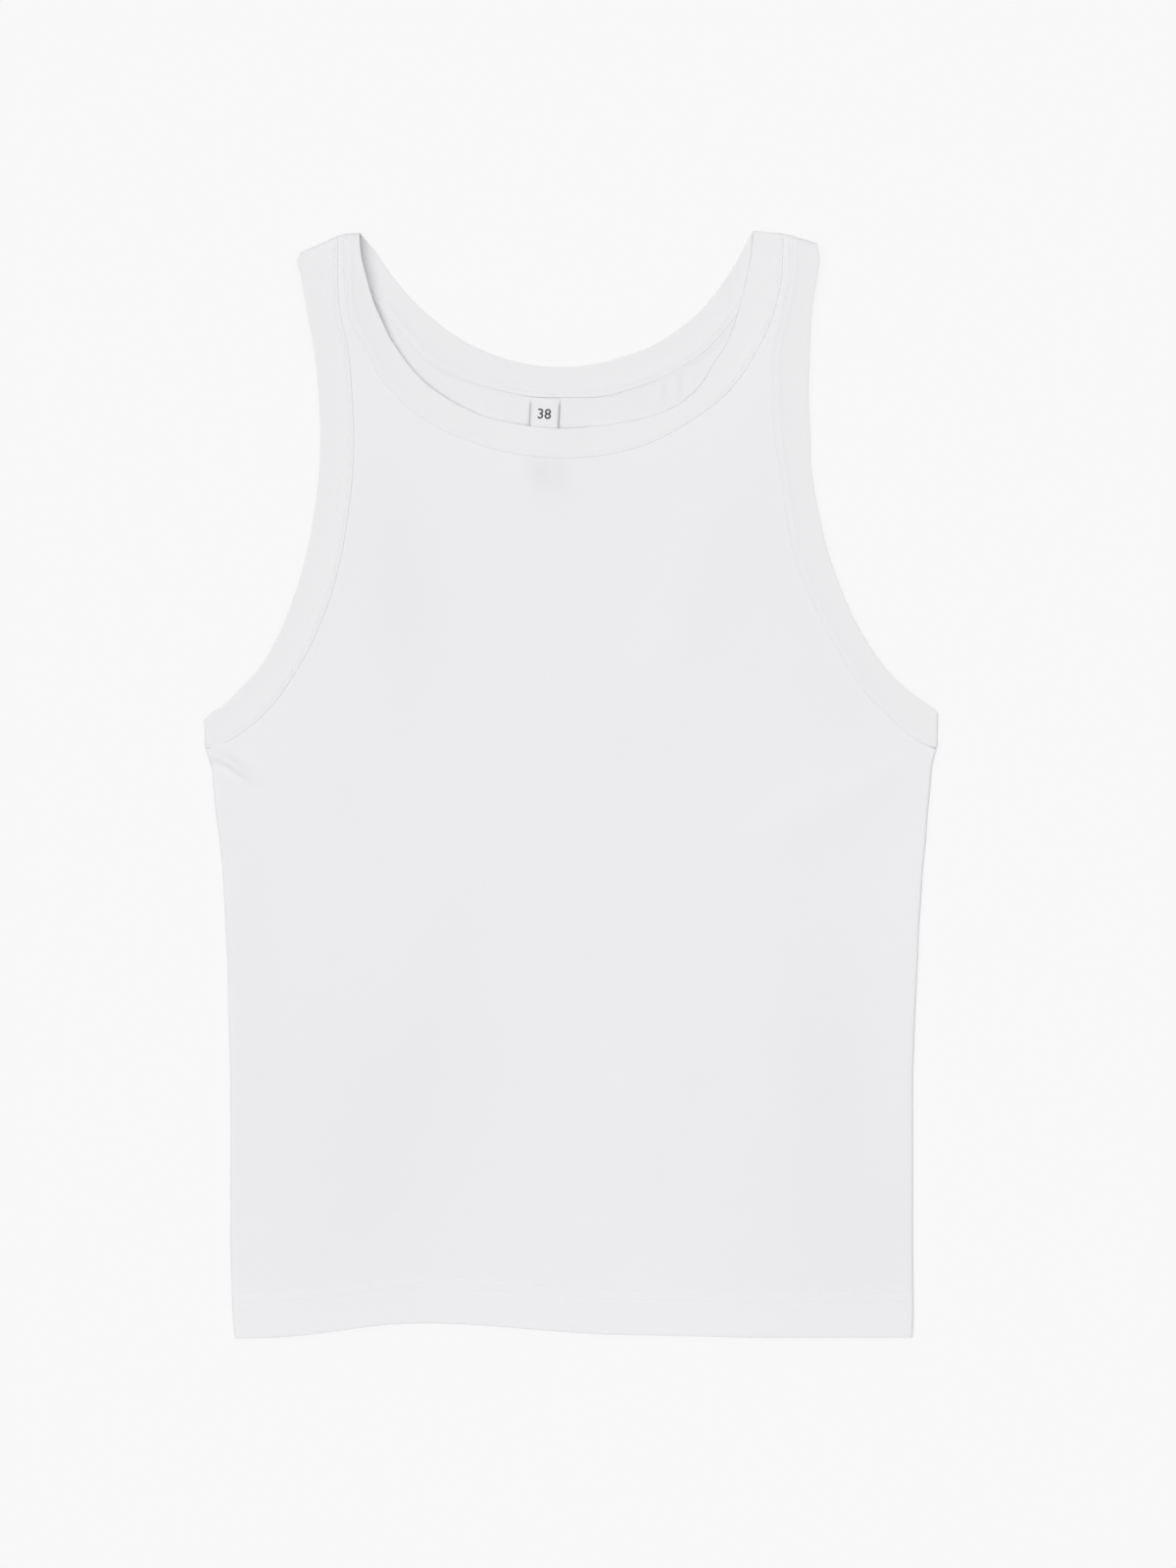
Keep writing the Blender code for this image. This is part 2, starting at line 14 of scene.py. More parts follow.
import bpy
import numpy as np
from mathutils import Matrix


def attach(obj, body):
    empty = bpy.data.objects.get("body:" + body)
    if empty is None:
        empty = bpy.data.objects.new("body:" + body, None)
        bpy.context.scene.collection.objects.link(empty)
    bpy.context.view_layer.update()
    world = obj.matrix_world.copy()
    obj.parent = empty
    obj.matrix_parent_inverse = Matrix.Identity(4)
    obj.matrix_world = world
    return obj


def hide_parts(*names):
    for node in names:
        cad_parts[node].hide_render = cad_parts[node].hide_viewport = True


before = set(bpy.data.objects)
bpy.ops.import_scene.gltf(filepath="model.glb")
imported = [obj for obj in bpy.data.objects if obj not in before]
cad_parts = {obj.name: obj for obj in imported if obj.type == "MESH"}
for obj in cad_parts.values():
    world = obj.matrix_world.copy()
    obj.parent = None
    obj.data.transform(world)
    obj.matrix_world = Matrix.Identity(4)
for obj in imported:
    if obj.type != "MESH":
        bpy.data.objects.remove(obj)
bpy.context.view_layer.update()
print("solids:", sorted(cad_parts))

# %% [markdown]
# ## Sizes
#
# Real jersey is about half a millimetre thick. A binding is a strip of it folded
# double round the raw edge of a panel, so at the seam three layers lie on each
# other, and from the end of the panel's edge to the fold there are two. The hem is
# turned up once. The front cloth lies a little above the back cloth, and higher at
# the shoulders, where the straps stand up on their folds.

# %% The sizes that shape the cloth
MM = 0.001

JERSEY = 0.55 * MM
BINDING_JERSEY = 0.3 * MM
SEAM_GAP = 0.1 * MM
LAYER_STEP = 0.75 * MM

# Height of the middle of the front cloth, in each region
BODY_LEVEL = 2.1 * MM
CHEST_LEVEL = 3.2 * MM
SIDE_LEVEL = 3.6 * MM
SHOULDER_LEVEL = 5.3 * MM
HEM_LEVEL = 3.7 * MM

# Where it climbs from one region's height to the next, in y
CHEST_RISE = (-60.0 * MM, 60.0 * MM)
SHOULDER_RISE = (205.0 * MM, 285.0 * MM)
SIDE_ROLL_END = (10.0 * MM, 45.0 * MM)
SIDE_ROLL_WIDTH = 16.0 * MM

# Hem: its depth, and where its height fades into the body's
HEM_DEPTH = 25.0 * MM
HEM_FADE = (26.0 * MM, 120.0 * MM)

# The body: the y of the underarm folds, and half its width at the hem
UNDERARM_Y = 18.6 * MM
HALF_WIDTH = 185.0 * MM

# How far inside the outline the front's height at a fold is read
FOLD_READING = 3.0 * MM

# Bindings: the wall that a fold has room for, half the height of three layers and of
# two, how far a panel's edge goes in, and how far the back's edge hides under the front's
BINDING_WALL = 1.3 * MM
THREE_LAYERS = 0.625 * MM
TWO_LAYERS = 0.35 * MM
SEAM_ALLOWANCE = 3.7 * MM
BACK_ARMHOLE_INSET = 1.5 * MM
print("one layer", JERSEY / MM, "mm; a binding", 2 * THREE_LAYERS / MM, "mm at its seam")

# %% [markdown]
# ## The outlines
#
# These tables are the pattern: the outline of each piece as it lies, in
# millimetres. A garment that was put down by hand is never quite symmetrical, so
# the left and the right have their own numbers.

# %% Side seams and hem
SIDE_SEAMS = (
    # y       left    right
    (-299.5, -182.4, 185.0),
    (-286.5, -183.6, 185.6),
    (-254.6, -184.7, 185.2),
    (-159.1, -184.7, 185.2),
    (-127.2, -185.7, 186.3),
    (-95.4, -186.3, 187.9),
    (-79.5, -187.3, 188.4),
    (-63.6, -187.9, 189.5),
    (-47.6, -188.9, 190.5),
    (-31.7, -190.5, 192.1),
    (-15.8, -192.6, 193.2),
    (0.1, -194.2, 194.8),
    (8.1, -194.8, 195.3),
    (13.4, -196.4, 196.4),
    (18.6, -197.9, 197.9),
)
HEM_LINE = (
    # x       y
    (-200.0, -300.0),
    (-163.0, -299.8),
    (-142.0, -298.0),
    (-120.0, -295.0),
    (-99.0, -292.4),
    (-78.0, -291.7),
    (-57.0, -292.3),
    (-36.0, -293.9),
    (-4.0, -296.5),
    (18.0, -297.8),
    (60.0, -298.6),
    (102.0, -299.7),
    (200.0, -299.6),
)
print("rows of the side seams:", len(SIDE_SEAMS), "and of the hem:", len(HEM_LINE))

# %% Armhole bindings, from the shoulder fold to the underarm fold
LEFT_ARMHOLE = (
    # edge x, edge y, seam x, seam y
    (-146.5, 288.0, -126.0, 297.1),
    (-148.3, 282.5, -126.0, 285.6),
    (-146.5, 276.1, -126.0, 275.0),
    (-142.8, 254.9, -125.0, 256.4),
    (-139.0, 233.6, -120.7, 236.3),
    (-136.9, 212.4, -118.6, 212.4),
    (-135.9, 191.2, -117.6, 191.2),
    (-136.4, 170.0, -118.1, 168.9),
    (-139.0, 148.7, -120.7, 146.6),
    (-142.8, 127.5, -124.2, 124.3),
    (-148.6, 106.3, -130.8, 99.9),
    (-156.6, 85.0, -140.6, 76.0),
    (-168.2, 63.8, -153.9, 53.2),
    (-177.8, 53.2, -165.6, 38.3),
    (-188.4, 42.6, -178.8, 27.5),
    (-196.4, 37.3, -189.5, 21.4),
    (-198.8, 34.6, -198.5, 19.0),
)
RIGHT_ARMHOLE = (
    # edge x, edge y, seam x, seam y
    (132.8, 293.2, 117.6, 297.6),
    (134.3, 284.6, 117.6, 285.6),
    (133.2, 276.1, 117.3, 276.1),
    (130.0, 254.9, 113.6, 256.4),
    (129.0, 233.6, 108.8, 235.2),
    (128.4, 212.4, 108.8, 212.4),
    (129.2, 191.2, 109.6, 189.6),
    (130.0, 170.0, 113.0, 167.8),
    (133.7, 148.7, 116.0, 146.1),
    (138.5, 127.5, 120.2, 124.3),
    (145.9, 106.3, 129.0, 102.0),
    (155.5, 85.0, 140.6, 78.1),
    (169.3, 63.8, 157.1, 51.6),
    (179.4, 53.2, 167.7, 40.5),
    (192.1, 43.6, 182.6, 26.7),
    (196.4, 40.7, 191.1, 21.4),
    (198.8, 38.3, 198.5, 19.5),
)
print("armhole rows:", len(LEFT_ARMHOLE), "left and", len(RIGHT_ARMHOLE), "right")

# %% Neck binding, from the left shoulder fold round to the right one
FRONT_NECK = (
    # edge x, edge y, seam x, seam y
    (-114.6, 298.6, -123.3, 298.0),
    (-113.8, 286.7, -123.5, 286.0),
    (-109.9, 270.8, -123.0, 271.0),
    (-107.2, 261.8, -122.4, 259.4),
    (-102.9, 251.7, -119.0, 248.6),
    (-98.1, 241.6, -114.2, 239.0),
    (-93.8, 235.0, -109.6, 230.9),
    (-89.9, 229.4, -104.4, 220.9),
    (-84.9, 223.3, -96.6, 211.9),
    (-76.9, 215.6, -87.6, 202.8),
    (-64.2, 207.1, -73.2, 193.3),
    (-49.4, 200.2, -55.7, 185.6),
    (-33.4, 195.9, -36.1, 179.8),
    (-9.6, 192.8, -9.6, 176.6),
    (11.7, 193.8, 13.3, 177.4),
    (30.2, 196.5, 31.8, 181.1),
    (43.5, 199.4, 45.6, 185.9),
    (56.8, 205.0, 60.5, 193.8),
    (64.2, 210.3, 71.6, 201.3),
    (70.1, 216.1, 81.7, 209.2),
    (74.8, 223.5, 89.7, 217.7),
    (79.6, 231.5, 96.1, 226.7),
    (84.4, 238.9, 101.4, 236.3),
    (88.6, 249.6, 106.7, 246.4),
    (92.3, 262.8, 111.4, 260.7),
    (95.5, 276.1, 114.1, 274.5),
    (97.6, 287.7, 114.8, 286.7),
    (98.8, 300.0, 114.9, 298.3),
)
BACK_NECK = (
    # edge x, edge y, seam x, seam y
    (-114.6, 298.6, -123.3, 298.0),
    (-107.7, 290.7, -119.9, 280.3),
    (-97.1, 275.6, -109.9, 265.0),
    (-86.5, 262.8, -98.2, 251.7),
    (-75.9, 252.9, -87.8, 238.6),
    (-65.3, 244.8, -75.4, 227.4),
    (-54.7, 238.3, -62.3, 220.6),
    (-44.0, 233.6, -48.8, 215.9),
    (-33.4, 229.9, -35.0, 212.4),
    (-18.6, 227.0, -20.2, 209.8),
    (-1.6, 226.2, -1.6, 209.5),
    (15.4, 228.3, 18.6, 210.3),
    (30.2, 232.6, 35.6, 215.1),
    (40.9, 236.3, 47.2, 219.3),
    (51.5, 242.1, 60.0, 226.2),
    (62.1, 249.6, 72.7, 234.7),
    (72.7, 259.6, 84.4, 247.4),
    (83.3, 273.2, 96.1, 263.9),
    (91.3, 286.3, 107.4, 279.5),
    (95.0, 294.1, 113.6, 290.0),
    (98.8, 300.0, 114.9, 298.3),
)
FRONT_NECK_CENTRE_ROW = 13
BACK_NECK_CENTRE_ROW = 10
print("neck rows:", len(FRONT_NECK), "front and", len(BACK_NECK), "back")

# %% [markdown]
# ## Smooth lines from a few points
#
# A cut edge runs smoothly through the table's points. A Catmull-Rom curve does
# this without handles to set, and its centripetal form doesn't loop where two
# points lie close together.

# %% Lines
CURVE_STEPS = 24


def columns(rows):
    """The columns of a table of millimetres, as arrays of metres."""
    return tuple(np.array(column) * MM for column in zip(*rows))


def edge_and_seam(rows):
    """The two long sides of a binding's table, each as points in plan."""
    edge_x, edge_y, seam_x, seam_y = columns(rows)
    return np.column_stack([edge_x, edge_y]), np.column_stack([seam_x, seam_y])


def smooth_line(points):
    """A dense curve through the points: straight blends of blends between knots."""
    ends = np.vstack([2 * points[0] - points[1], points, 2 * points[-1] - points[-2]])
    pieces = []
    for before, start, end, after in zip(ends, ends[1:], ends[2:], ends[3:]):
        gaps = [np.linalg.norm(q - p) ** 0.5 for p, q in ((before, start), (start, end), (end, after))]
        k0, k1, k2, k3 = np.cumsum([0.0] + gaps)
        t = np.linspace(k1, k2, CURVE_STEPS, endpoint=False)[:, None]

        def blend(p, q, low, high):
            return ((high - t) * p + (t - low) * q) / (high - low)

        first = blend(before, start, k0, k1)
        middle = blend(start, end, k1, k2)
        last = blend(end, after, k2, k3)
        pieces.append(blend(blend(first, middle, k0, k2), blend(middle, last, k1, k3), k1, k2))
    return np.vstack(pieces + [points[-1:]])


def run_of(line):
    """How far along the line each of its points is."""
    return np.concatenate([[0.0], np.cumsum(np.linalg.norm(np.diff(line, axis=0), axis=1))])


def carried(line, values, distances):
    """Values that belong to a line's points, read at the given distances along it."""
    run = run_of(line)
    return np.column_stack([np.interp(distances, run, column) for column in values.T])


def along(line, distances):
    """Points at the given distances along a line."""
    return carried(line, line, distances)


left_edge, _ = edge_and_seam(LEFT_ARMHOLE)
print("points on the left armhole's edge:", len(LEFT_ARMHOLE), "become", len(smooth_line(left_edge)))


# %% Directions, ramps and bells, and the outline as functions
def unit(vectors):
    """Vectors of length one."""
    return vectors / np.linalg.norm(vectors, axis=-1, keepdims=True)


def ramp(value, start, end):
    """0 before start, 1 after end and a smooth S between them."""
    t = np.clip((value - start) / (end - start), 0.0, 1.0)
    return t * t * (3 - 2 * t)


def bell(value, half_width):
    """1 at zero and less on both sides of it: exp(-(value / half width)^2)."""
    return np.exp(-((value / half_width) ** 2))


def side_line(y, side):
    """The x of the side seam's outline at y; side is -1 on the left, 1 on the right."""
    seam_y, left, right = columns(SIDE_SEAMS)
    return np.interp(y, seam_y, left if side < 0 else right)


def hem_height(x):
    """The y of the hem's lowest line at x."""
    hem_x, hem_y = columns(HEM_LINE)
    return np.interp(x, hem_x, hem_y)


print("hem at the middle:", round(float(hem_height(0.0)) / MM, 1), "mm")

# %% [markdown]
# ## How the cloth lies
#
# The height of the front cloth is one function of its place: broad levels, a roll
# at the side seams, a rise for the turned-up hem, and soft ridges. Each ridge is a
# bell curve, long one way and narrow the other. Adding bells is quicker to control
# than a cloth simulation, and is enough for a garment that lies flat. Real creases
# are uneven, so the bells differ in length, direction and height. Their tables are
# in millimetres, with the direction in degrees, turned left from the x axis.
#
# The bells at the neck and the straps do another job. They set how high the front
# neck edge hangs over the back, and so how wide a shadow it throws: it gapes at the
# left strap and lies close from the middle round to the right one.

# %% Ridges and creases of the front
FRONT_RIDGES = (
    # x      y      half length, half width, direction, height
    (-104.0, 108.0, 62.0, 17.0, 96.0, 1.5),
    (-20.0, 82.0, 78.0, 26.0, 118.0, 1.4),
    (62.0, 96.0, 58.0, 19.0, 74.0, 1.3),
    (124.0, 62.0, 40.0, 18.0, 128.0, 1.6),
    (-142.0, 12.0, 44.0, 15.0, -30.0, 1.3),
    (144.0, -8.0, 46.0, 15.0, 24.0, 1.5),
    (-92.0, -118.0, 96.0, 30.0, 74.0, 1.7),
    (-8.0, -92.0, 74.0, 34.0, 100.0, 0.9),
    (38.0, -196.0, 70.0, 26.0, 84.0, 1.2),
    (118.0, -150.0, 92.0, 24.0, 98.0, 1.6),
    # along the neck edge and up the straps
    (4.0, 194.0, 66.0, 24.0, 2.0, -1.3),
    (88.0, 244.0, 32.0, 16.0, 76.0, -2.8),
    (99.5, 288.0, 27.0, 13.0, 80.0, -3.6),
    (52.0, 206.0, 38.0, 15.0, 24.0, -1.25),
    (14.0, 196.0, 12.0, 12.0, 0.0, -0.5),
    (-37.0, 198.0, 12.0, 12.0, -10.0, -0.5),
    (-50.0, 203.0, 22.0, 14.0, -22.0, -1.2),
    (-90.0, 231.0, 29.0, 14.0, 128.0, -1.35),
    (-117.0, 288.0, 36.0, 16.0, 84.0, 2.2),
    # small ones, at the underarms, the side seams, the neck and the hem
    (193.5, 17.6, 6.5, 2.6, -14.0, -0.8),
    (-160.0, -22.0, 20.0, 6.0, -34.0, 0.25),
    (-176.0, -52.0, 26.0, 5.5, 78.0, 0.3),
    (-170.0, -150.0, 34.0, 7.0, 94.0, 0.3),
    (-150.0, -214.0, 30.0, 8.0, 70.0, 0.3),
    (-60.0, -236.0, 22.0, 9.0, 112.0, -0.3),
    (176.0, -36.0, 30.0, 6.0, 102.0, 0.3),
    (166.0, 4.0, 22.0, 5.0, 38.0, 0.35),
    (170.0, -196.0, 36.0, 7.0, 86.0, 0.35),
    (92.0, -238.0, 20.0, 8.0, 64.0, -0.25),
    (-86.0, 176.0, 16.0, 5.0, 128.0, 0.25),
    (-58.0, 160.0, 14.0, 4.5, 112.0, 0.2),
    (70.0, 172.0, 15.0, 5.0, 58.0, 0.22),
    (96.0, 196.0, 18.0, 5.0, 74.0, 0.25),
)

# The crease at the left underarm, where the side seam pulls: the line of its crest,
# its half widths above and below, its height, and from which share of its length it
# fades out
UNDERARM_CREASE = (
    # x      y
    (-197.5, 14.4),
    (-189.0, 13.4),
    (-183.6, 10.2),
    (-177.3, 5.2),
    (-170.9, 0.8),
    (-158.7, -6.4),
)
CREASE_WIDTHS = (4.0 * MM, 1.9 * MM)
CREASE_HEIGHT = 2.2 * MM
CREASE_FADE = (0.4, 1.0)

# The groove at the foot of the crease, which gives it a sharp lower side
FOOT_DEPTH = 0.9 * MM
FOOT_WIDTH = 0.9 * MM
FOOT_DROP = 2.0 * MM

# The rise of the front over the label: its height, middle and half sizes
LABEL_TOP = (-14.2 * MM, 208.0 * MM)
LABEL_RELIEF = 1.0 * MM
LABEL_RELIEF_Y = 173.0 * MM
LABEL_RELIEF_HALF_SIZES = (20.0 * MM, 28.0 * MM)


def ridges(x, y, table):
    """Sum of bells: height * exp(-(lengthwise / half length)^2 - (across / half width)^2)."""
    total = np.zeros(np.shape(x))
    for ridge_x, ridge_y, half_length, half_width, direction, height in table:
        turn = math.radians(direction)
        right = x - ridge_x * MM
        up = y - ridge_y * MM
        lengthwise = (right * math.cos(turn) + up * math.sin(turn)) / (half_length * MM)
        across = (up * math.cos(turn) - right * math.sin(turn)) / (half_width * MM)
        total = total + height * MM * np.exp(-(lengthwise**2) - across**2)
    return total


def crease(x, y, crest):
    """A bell across a line, steeper below it and with a groove at its foot, that fades out along it."""
    line = smooth_line(np.array(crest) * MM)
    reach = np.stack(np.broadcast_arrays(x, y), axis=-1)[..., None, :] - line
    distance = np.linalg.norm(reach, axis=-1)
    nearest = distance.argmin(axis=-1)
    aside = np.take_along_axis(reach, nearest[..., None, None], axis=-2)[..., 0, :]
    way = unit(np.gradient(line, axis=0))[nearest]
    above = way[..., 0] * aside[..., 1] - way[..., 1] * aside[..., 0] > 0
    away = distance.min(axis=-1) * np.where(above, 1.0, -1.0)
    fade = 1 - ramp(nearest / (len(line) - 1), *CREASE_FADE)
    crest_height = CREASE_HEIGHT * bell(away, np.where(above, *CREASE_WIDTHS))
    foot = FOOT_DEPTH * bell(away + FOOT_DROP, FOOT_WIDTH)
    return fade * (crest_height - foot)


print("bells on the front:", len(FRONT_RIDGES), "and one sharp crease")

# %% The height of the front
HEM_ROWS = np.array([18.9, 24.3]) * MM
STITCH_GROOVE = 0.12 * MM
GROOVE_HALF_WIDTH = 0.55 * MM
HEM_EDGE_STEP = 0.22 * MM
HEM_STEP_END = (24.9 * MM, 26.6 * MM)


def hem_relief(above_hem):
    """A groove along each row of stitches, and a step where the turned-up layer ends."""
    groove = sum(bell(above_hem - row, GROOVE_HALF_WIDTH) for row in HEM_ROWS)
    return HEM_EDGE_STEP * (1 - ramp(above_hem, *HEM_STEP_END)) - STITCH_GROOVE * groove


def front_level(x, y):
    """Height of the middle of the front cloth: region levels, side rolls, ridges, hem."""
    level = BODY_LEVEL + (CHEST_LEVEL - BODY_LEVEL) * ramp(y, *CHEST_RISE)
    level = level + (SHOULDER_LEVEL - CHEST_LEVEL) * ramp(y, *SHOULDER_RISE)
    side_gap = np.minimum(x - side_line(y, -1), side_line(y, 1) - x)
    at_side = bell(side_gap, SIDE_ROLL_WIDTH) * (1 - ramp(y, *SIDE_ROLL_END))
    level = level + (SIDE_LEVEL - level) * at_side
    level = level + ridges(x, y, FRONT_RIDGES) + crease(x, y, UNDERARM_CREASE)
    half_width, half_height = LABEL_RELIEF_HALF_SIZES
    over_label = bell(x - LABEL_TOP[0], half_width) * bell(y - LABEL_RELIEF_Y, half_height)
    level = level + LABEL_RELIEF * over_label
    above_hem = y - hem_height(x)
    in_hem = 1 - ramp(above_hem, *HEM_FADE)
    return level + (np.maximum(HEM_LEVEL, level) - level) * in_hem + hem_relief(above_hem)


print("front over the chest:", round(float(front_level(0.0, 0.1)) / MM, 2), "mm up")

# %% [markdown]
# ### The back
#
# The back lies on the table, so its creases can only lift it. Two short puckers
# stand under the neck seam, where the binding was stretched a little as it was
# sewn. Near the seams the back also rises on to the under layer of the bindings.

# %% The height of the back
BACK_RIDGES = (
    # x     y      half length, half width, direction, height
    (48.6, 213.5, 6.0, 1.4, 84.0, 0.8),
    (57.2, 215.0, 7.0, 1.5, 96.0, 1.0),
    (66.0, 222.0, 6.0, 2.0, 110.0, 0.25),
    (-46.0, 207.0, 6.0, 2.2, 70.0, 0.2),
    (24.0, 203.0, 5.0, 2.4, 92.0, 0.2),
    (-70.0, 246.0, 26.0, 10.0, -48.0, 0.8),
    (-70.0, 40.0, 60.0, 14.0, 82.0, 0.3),
    (40.0, -40.0, 70.0, 18.0, 104.0, 0.35),
    (-120.0, -130.0, 80.0, 16.0, 76.0, 0.35),
    (110.0, -180.0, 60.0, 14.0, 96.0, 0.3),
    (150.0, 20.0, 34.0, 8.0, 30.0, 0.3),
    (-158.0, 4.0, 30.0, 7.0, -34.0, 0.35),
)


def back_level(x, y):
    """Height of the middle of the back cloth: on the ground, lifted by ridges and stitch grooves."""
    groove = -np.minimum(hem_relief(y - hem_height(x)), 0.0)
    return JERSEY / 2 + ridges(x, y, BACK_RIDGES) + groove


class Cloth:
    """The front or the back cloth: its height, and how it runs round a fold.

    At a fold the two cloths meet half way up. Each turns a quarter circle whose
    radius is half the height between them.
    """

    def __init__(self, side, level):
        self.side = side
        self.level = level

    def turn(self, top, wall, angles, gap, drop=0.0):
        """Heights round a fold: half a gap off its centre, then up or down by a sine."""
        radius = fold_radius(top, wall)
        reach = radius - drop - gap / 2
        return top - radius + self.side * (gap / 2 + reach * np.sin(angles))


def fold_radius(top, wall):
    """Radius of the fold between a front cloth at height top and the back cloth."""
    return (top - wall / 2) / 2


FRONT = Cloth(1, front_level)
BACK = Cloth(-1, back_level)
print("bells on the back:", len(BACK_RIDGES))

# %% [markdown]
# ## From a grid to a mesh
#
# Every piece ends as points and four-cornered faces. The faces must look outwards,
# or the shading turns inside out. A closed body's volume tells which way they
# look: each face's corners give a small tetrahedron with the origin, and the sum of
# these is above zero when the faces look out.

# %% Mesh helpers
def volume(points, faces):
    """Sum over the faces' fans of triangles of a . (b x c) / 6."""
    corners = [points[faces[:, k]] for k in range(faces.shape[1])]
    fans = zip(corners[1:], corners[2:])
    return sum((corners[0] * np.cross(b, c)).sum() for b, c in fans) / 6


def in_scene(name, data):
    """A new object that holds the data, linked to the scene."""
    made = bpy.data.objects.new(name, data)
    bpy.context.scene.collection.objects.link(made)
    return made


def make_piece(name, points, faces, uv=None, marks=None, sharp=60):
    """A mesh object with smooth faces that look out; marks is a named number for each point."""
    if volume(points, faces) < 0:
        faces = faces[:, ::-1]
        uv = None if uv is None else uv[:, ::-1]
    mesh = bpy.data.meshes.new(name)
    mesh.from_pydata(points.tolist(), [], faces.tolist())
    if uv is not None:
        mesh.uv_layers.new(name="cloth").data.foreach_set("uv", uv.ravel())
    for mark, values in (marks or {}).items():
        mesh.attributes.new(mark, "FLOAT", "POINT").data.foreach_set("value", values)
    mesh.shade_smooth()
    mesh.set_sharp_from_angle(angle=math.radians(sharp))
    size = (points.max(axis=0) - points.min(axis=0)) / MM
    print(name, "has", len(faces), "faces and measures", size.round(1), "mm")
    return in_scene(name, mesh)


def cell_corners(grid):
    """A grid's values at the four corners of each cell between its points, row by row."""
    corners = [grid[:-1, :-1], grid[1:, :-1], grid[1:, 1:], grid[:-1, 1:]]
    return np.stack(corners, axis=2).reshape(-1, 4, *grid.shape[2:])


def grid_faces(shape):
    """The four-cornered faces between a grid's points."""
    return cell_corners(np.arange(shape[0] * shape[1]).reshape(shape))


print("faces between 3 x 4 points:", len(grid_faces((3, 4))))


# %% A sheet with a thickness
def sheet_body(name, middle, faces, wall, known, marks):
    """A closed sheet: a wall of even thickness on both sides of a middle surface.

    The wall is measured square to the faces, or along the known directions where
    there are any: round a fold, so that the cloths meet face to face.
    """
    corner = middle[faces]
    face_normal = np.cross(corner[:, 2] - corner[:, 0], corner[:, 3] - corner[:, 1])
    normal = np.zeros_like(middle)
    for column in range(4):
        np.add.at(normal, faces[:, column], face_normal)
    is_known = np.isfinite(known[:, 0])
    normal[is_known] = known[is_known]
    offset = unit(normal) * wall / 2
    points = np.vstack([middle + offset, middle - offset])
    points[:, 2] = np.maximum(points[:, 2], 0.0)
    count = len(middle)
    edges = np.concatenate([faces[:, [k, (k + 1) % 4]] for k in range(4)])
    _, first, uses = np.unique(np.sort(edges, axis=1), axis=0, return_index=True, return_counts=True)
    rim = edges[first[uses == 1]]
    sides = np.column_stack([rim[:, 1], rim[:, 0], rim[:, 0] + count, rim[:, 1] + count])
    every_face = np.vstack([faces, faces[:, ::-1] + count, sides])
    on_both_faces = {mark: np.tile(values, 2) for mark, values in marks.items()}
    return make_piece(name, points, every_face, marks=on_both_faces)


print("a sheet's points lie", JERSEY / 2 / MM, "mm to either side of its middle")

# %% [markdown]
# ## Bindings
#
# A binding is a strip folded double. Its long sides are the outer edge, which is
# the fold, and the seam, where the panel's raw edge goes in between the layers. At
# the shoulder and the underarm the strip turns over to the back, so the whole
# binding is a ring. It is made as a section carried round that ring.

# %% The run of a binding
FOLD_TURNS = np.linspace(0.0, math.pi / 2, 8)
STRAP_STATIONS = 66
CHEST_STATIONS = 50
STRAP_SHARE = 0.52


class Strip:
    """Half of a binding on one cloth, from the shoulder fold on.

    edge and seam are dense plan lines of its two long sides. Stations stand at
    the fold's turns, then at the given shares of the way, and where the far end
    is a fold too, at its turns again. Round a fold the distance from the outline
    grows as half the wall plus radius * (1 - cos(angle)). The front's height at
    the shoulder fold is read straight below it, so both cloths find the same, and
    it is kept, because the panel between the bindings turns over the same fold.
    """

    def __init__(self, cloth, edge, seam, shares, far_fold):
        self.lines = []
        self.fold_tops = []
        turned = 1 - np.cos(FOLD_TURNS)
        count = len(FOLD_TURNS)
        for line in (edge, seam):
            length = run_of(line)[-1]
            near_top = front_level(line[0, 0], line[0, 1] - FOLD_READING)
            self.fold_tops.append(near_top)
            near = BINDING_WALL / 2 + fold_radius(near_top, BINDING_WALL) * turned
            far = np.array([length])
            if far_fold:
                far_top = front_level(*along(line, [length - FOLD_READING])[0])
                far = length - BINDING_WALL / 2 - fold_radius(far_top, BINDING_WALL) * turned[::-1]
            between = near[-1] + (far[0] - near[-1]) * shares[1:-1]
            plan = along(line, np.concatenate([near, between, far]))
            height = front_level(plan[:, 0], plan[:, 1]) if cloth.side > 0 else BINDING_WALL / 2
            height = np.broadcast_to(height, len(plan)).copy()
            height[:count] = cloth.turn(near_top, BINDING_WALL, FOLD_TURNS, 0.0)
            if far_fold:
                height[-count:] = cloth.turn(far_top, BINDING_WALL, FOLD_TURNS[::-1], 0.0)
            self.lines.append(np.column_stack([plan, height]))

    def inside(self, depth):
        """Points that lie depth inside the binding, measured in plan from its seam."""
        edge, seam = self.lines
        width = np.linalg.norm((edge - seam)[:, :2], axis=1)[:, None]
        return seam + (edge - seam) * depth / width

    def fold_top(self, depth):
        """The front's height at the shoulder fold, the same depth inside."""
        edge, seam = self.lines
        edge_top, seam_top = self.fold_tops
        return seam_top + (edge_top - seam_top) * depth / np.linalg.norm((edge - seam)[0, :2])


def armhole_strip(cloth, rows, inset):
    """The strip of an armhole binding on one cloth, its edge moved in by inset."""
    edge, seam = edge_and_seam(rows)
    edge[1:-1] += unit(seam - edge)[1:-1] * inset
    strap = np.linspace(0.0, STRAP_SHARE, STRAP_STATIONS + 1)
    chest = np.linspace(STRAP_SHARE, 1.0, CHEST_STATIONS + 1)
    return Strip(cloth, smooth_line(edge), smooth_line(seam), np.append(strap, chest[1:]), True)


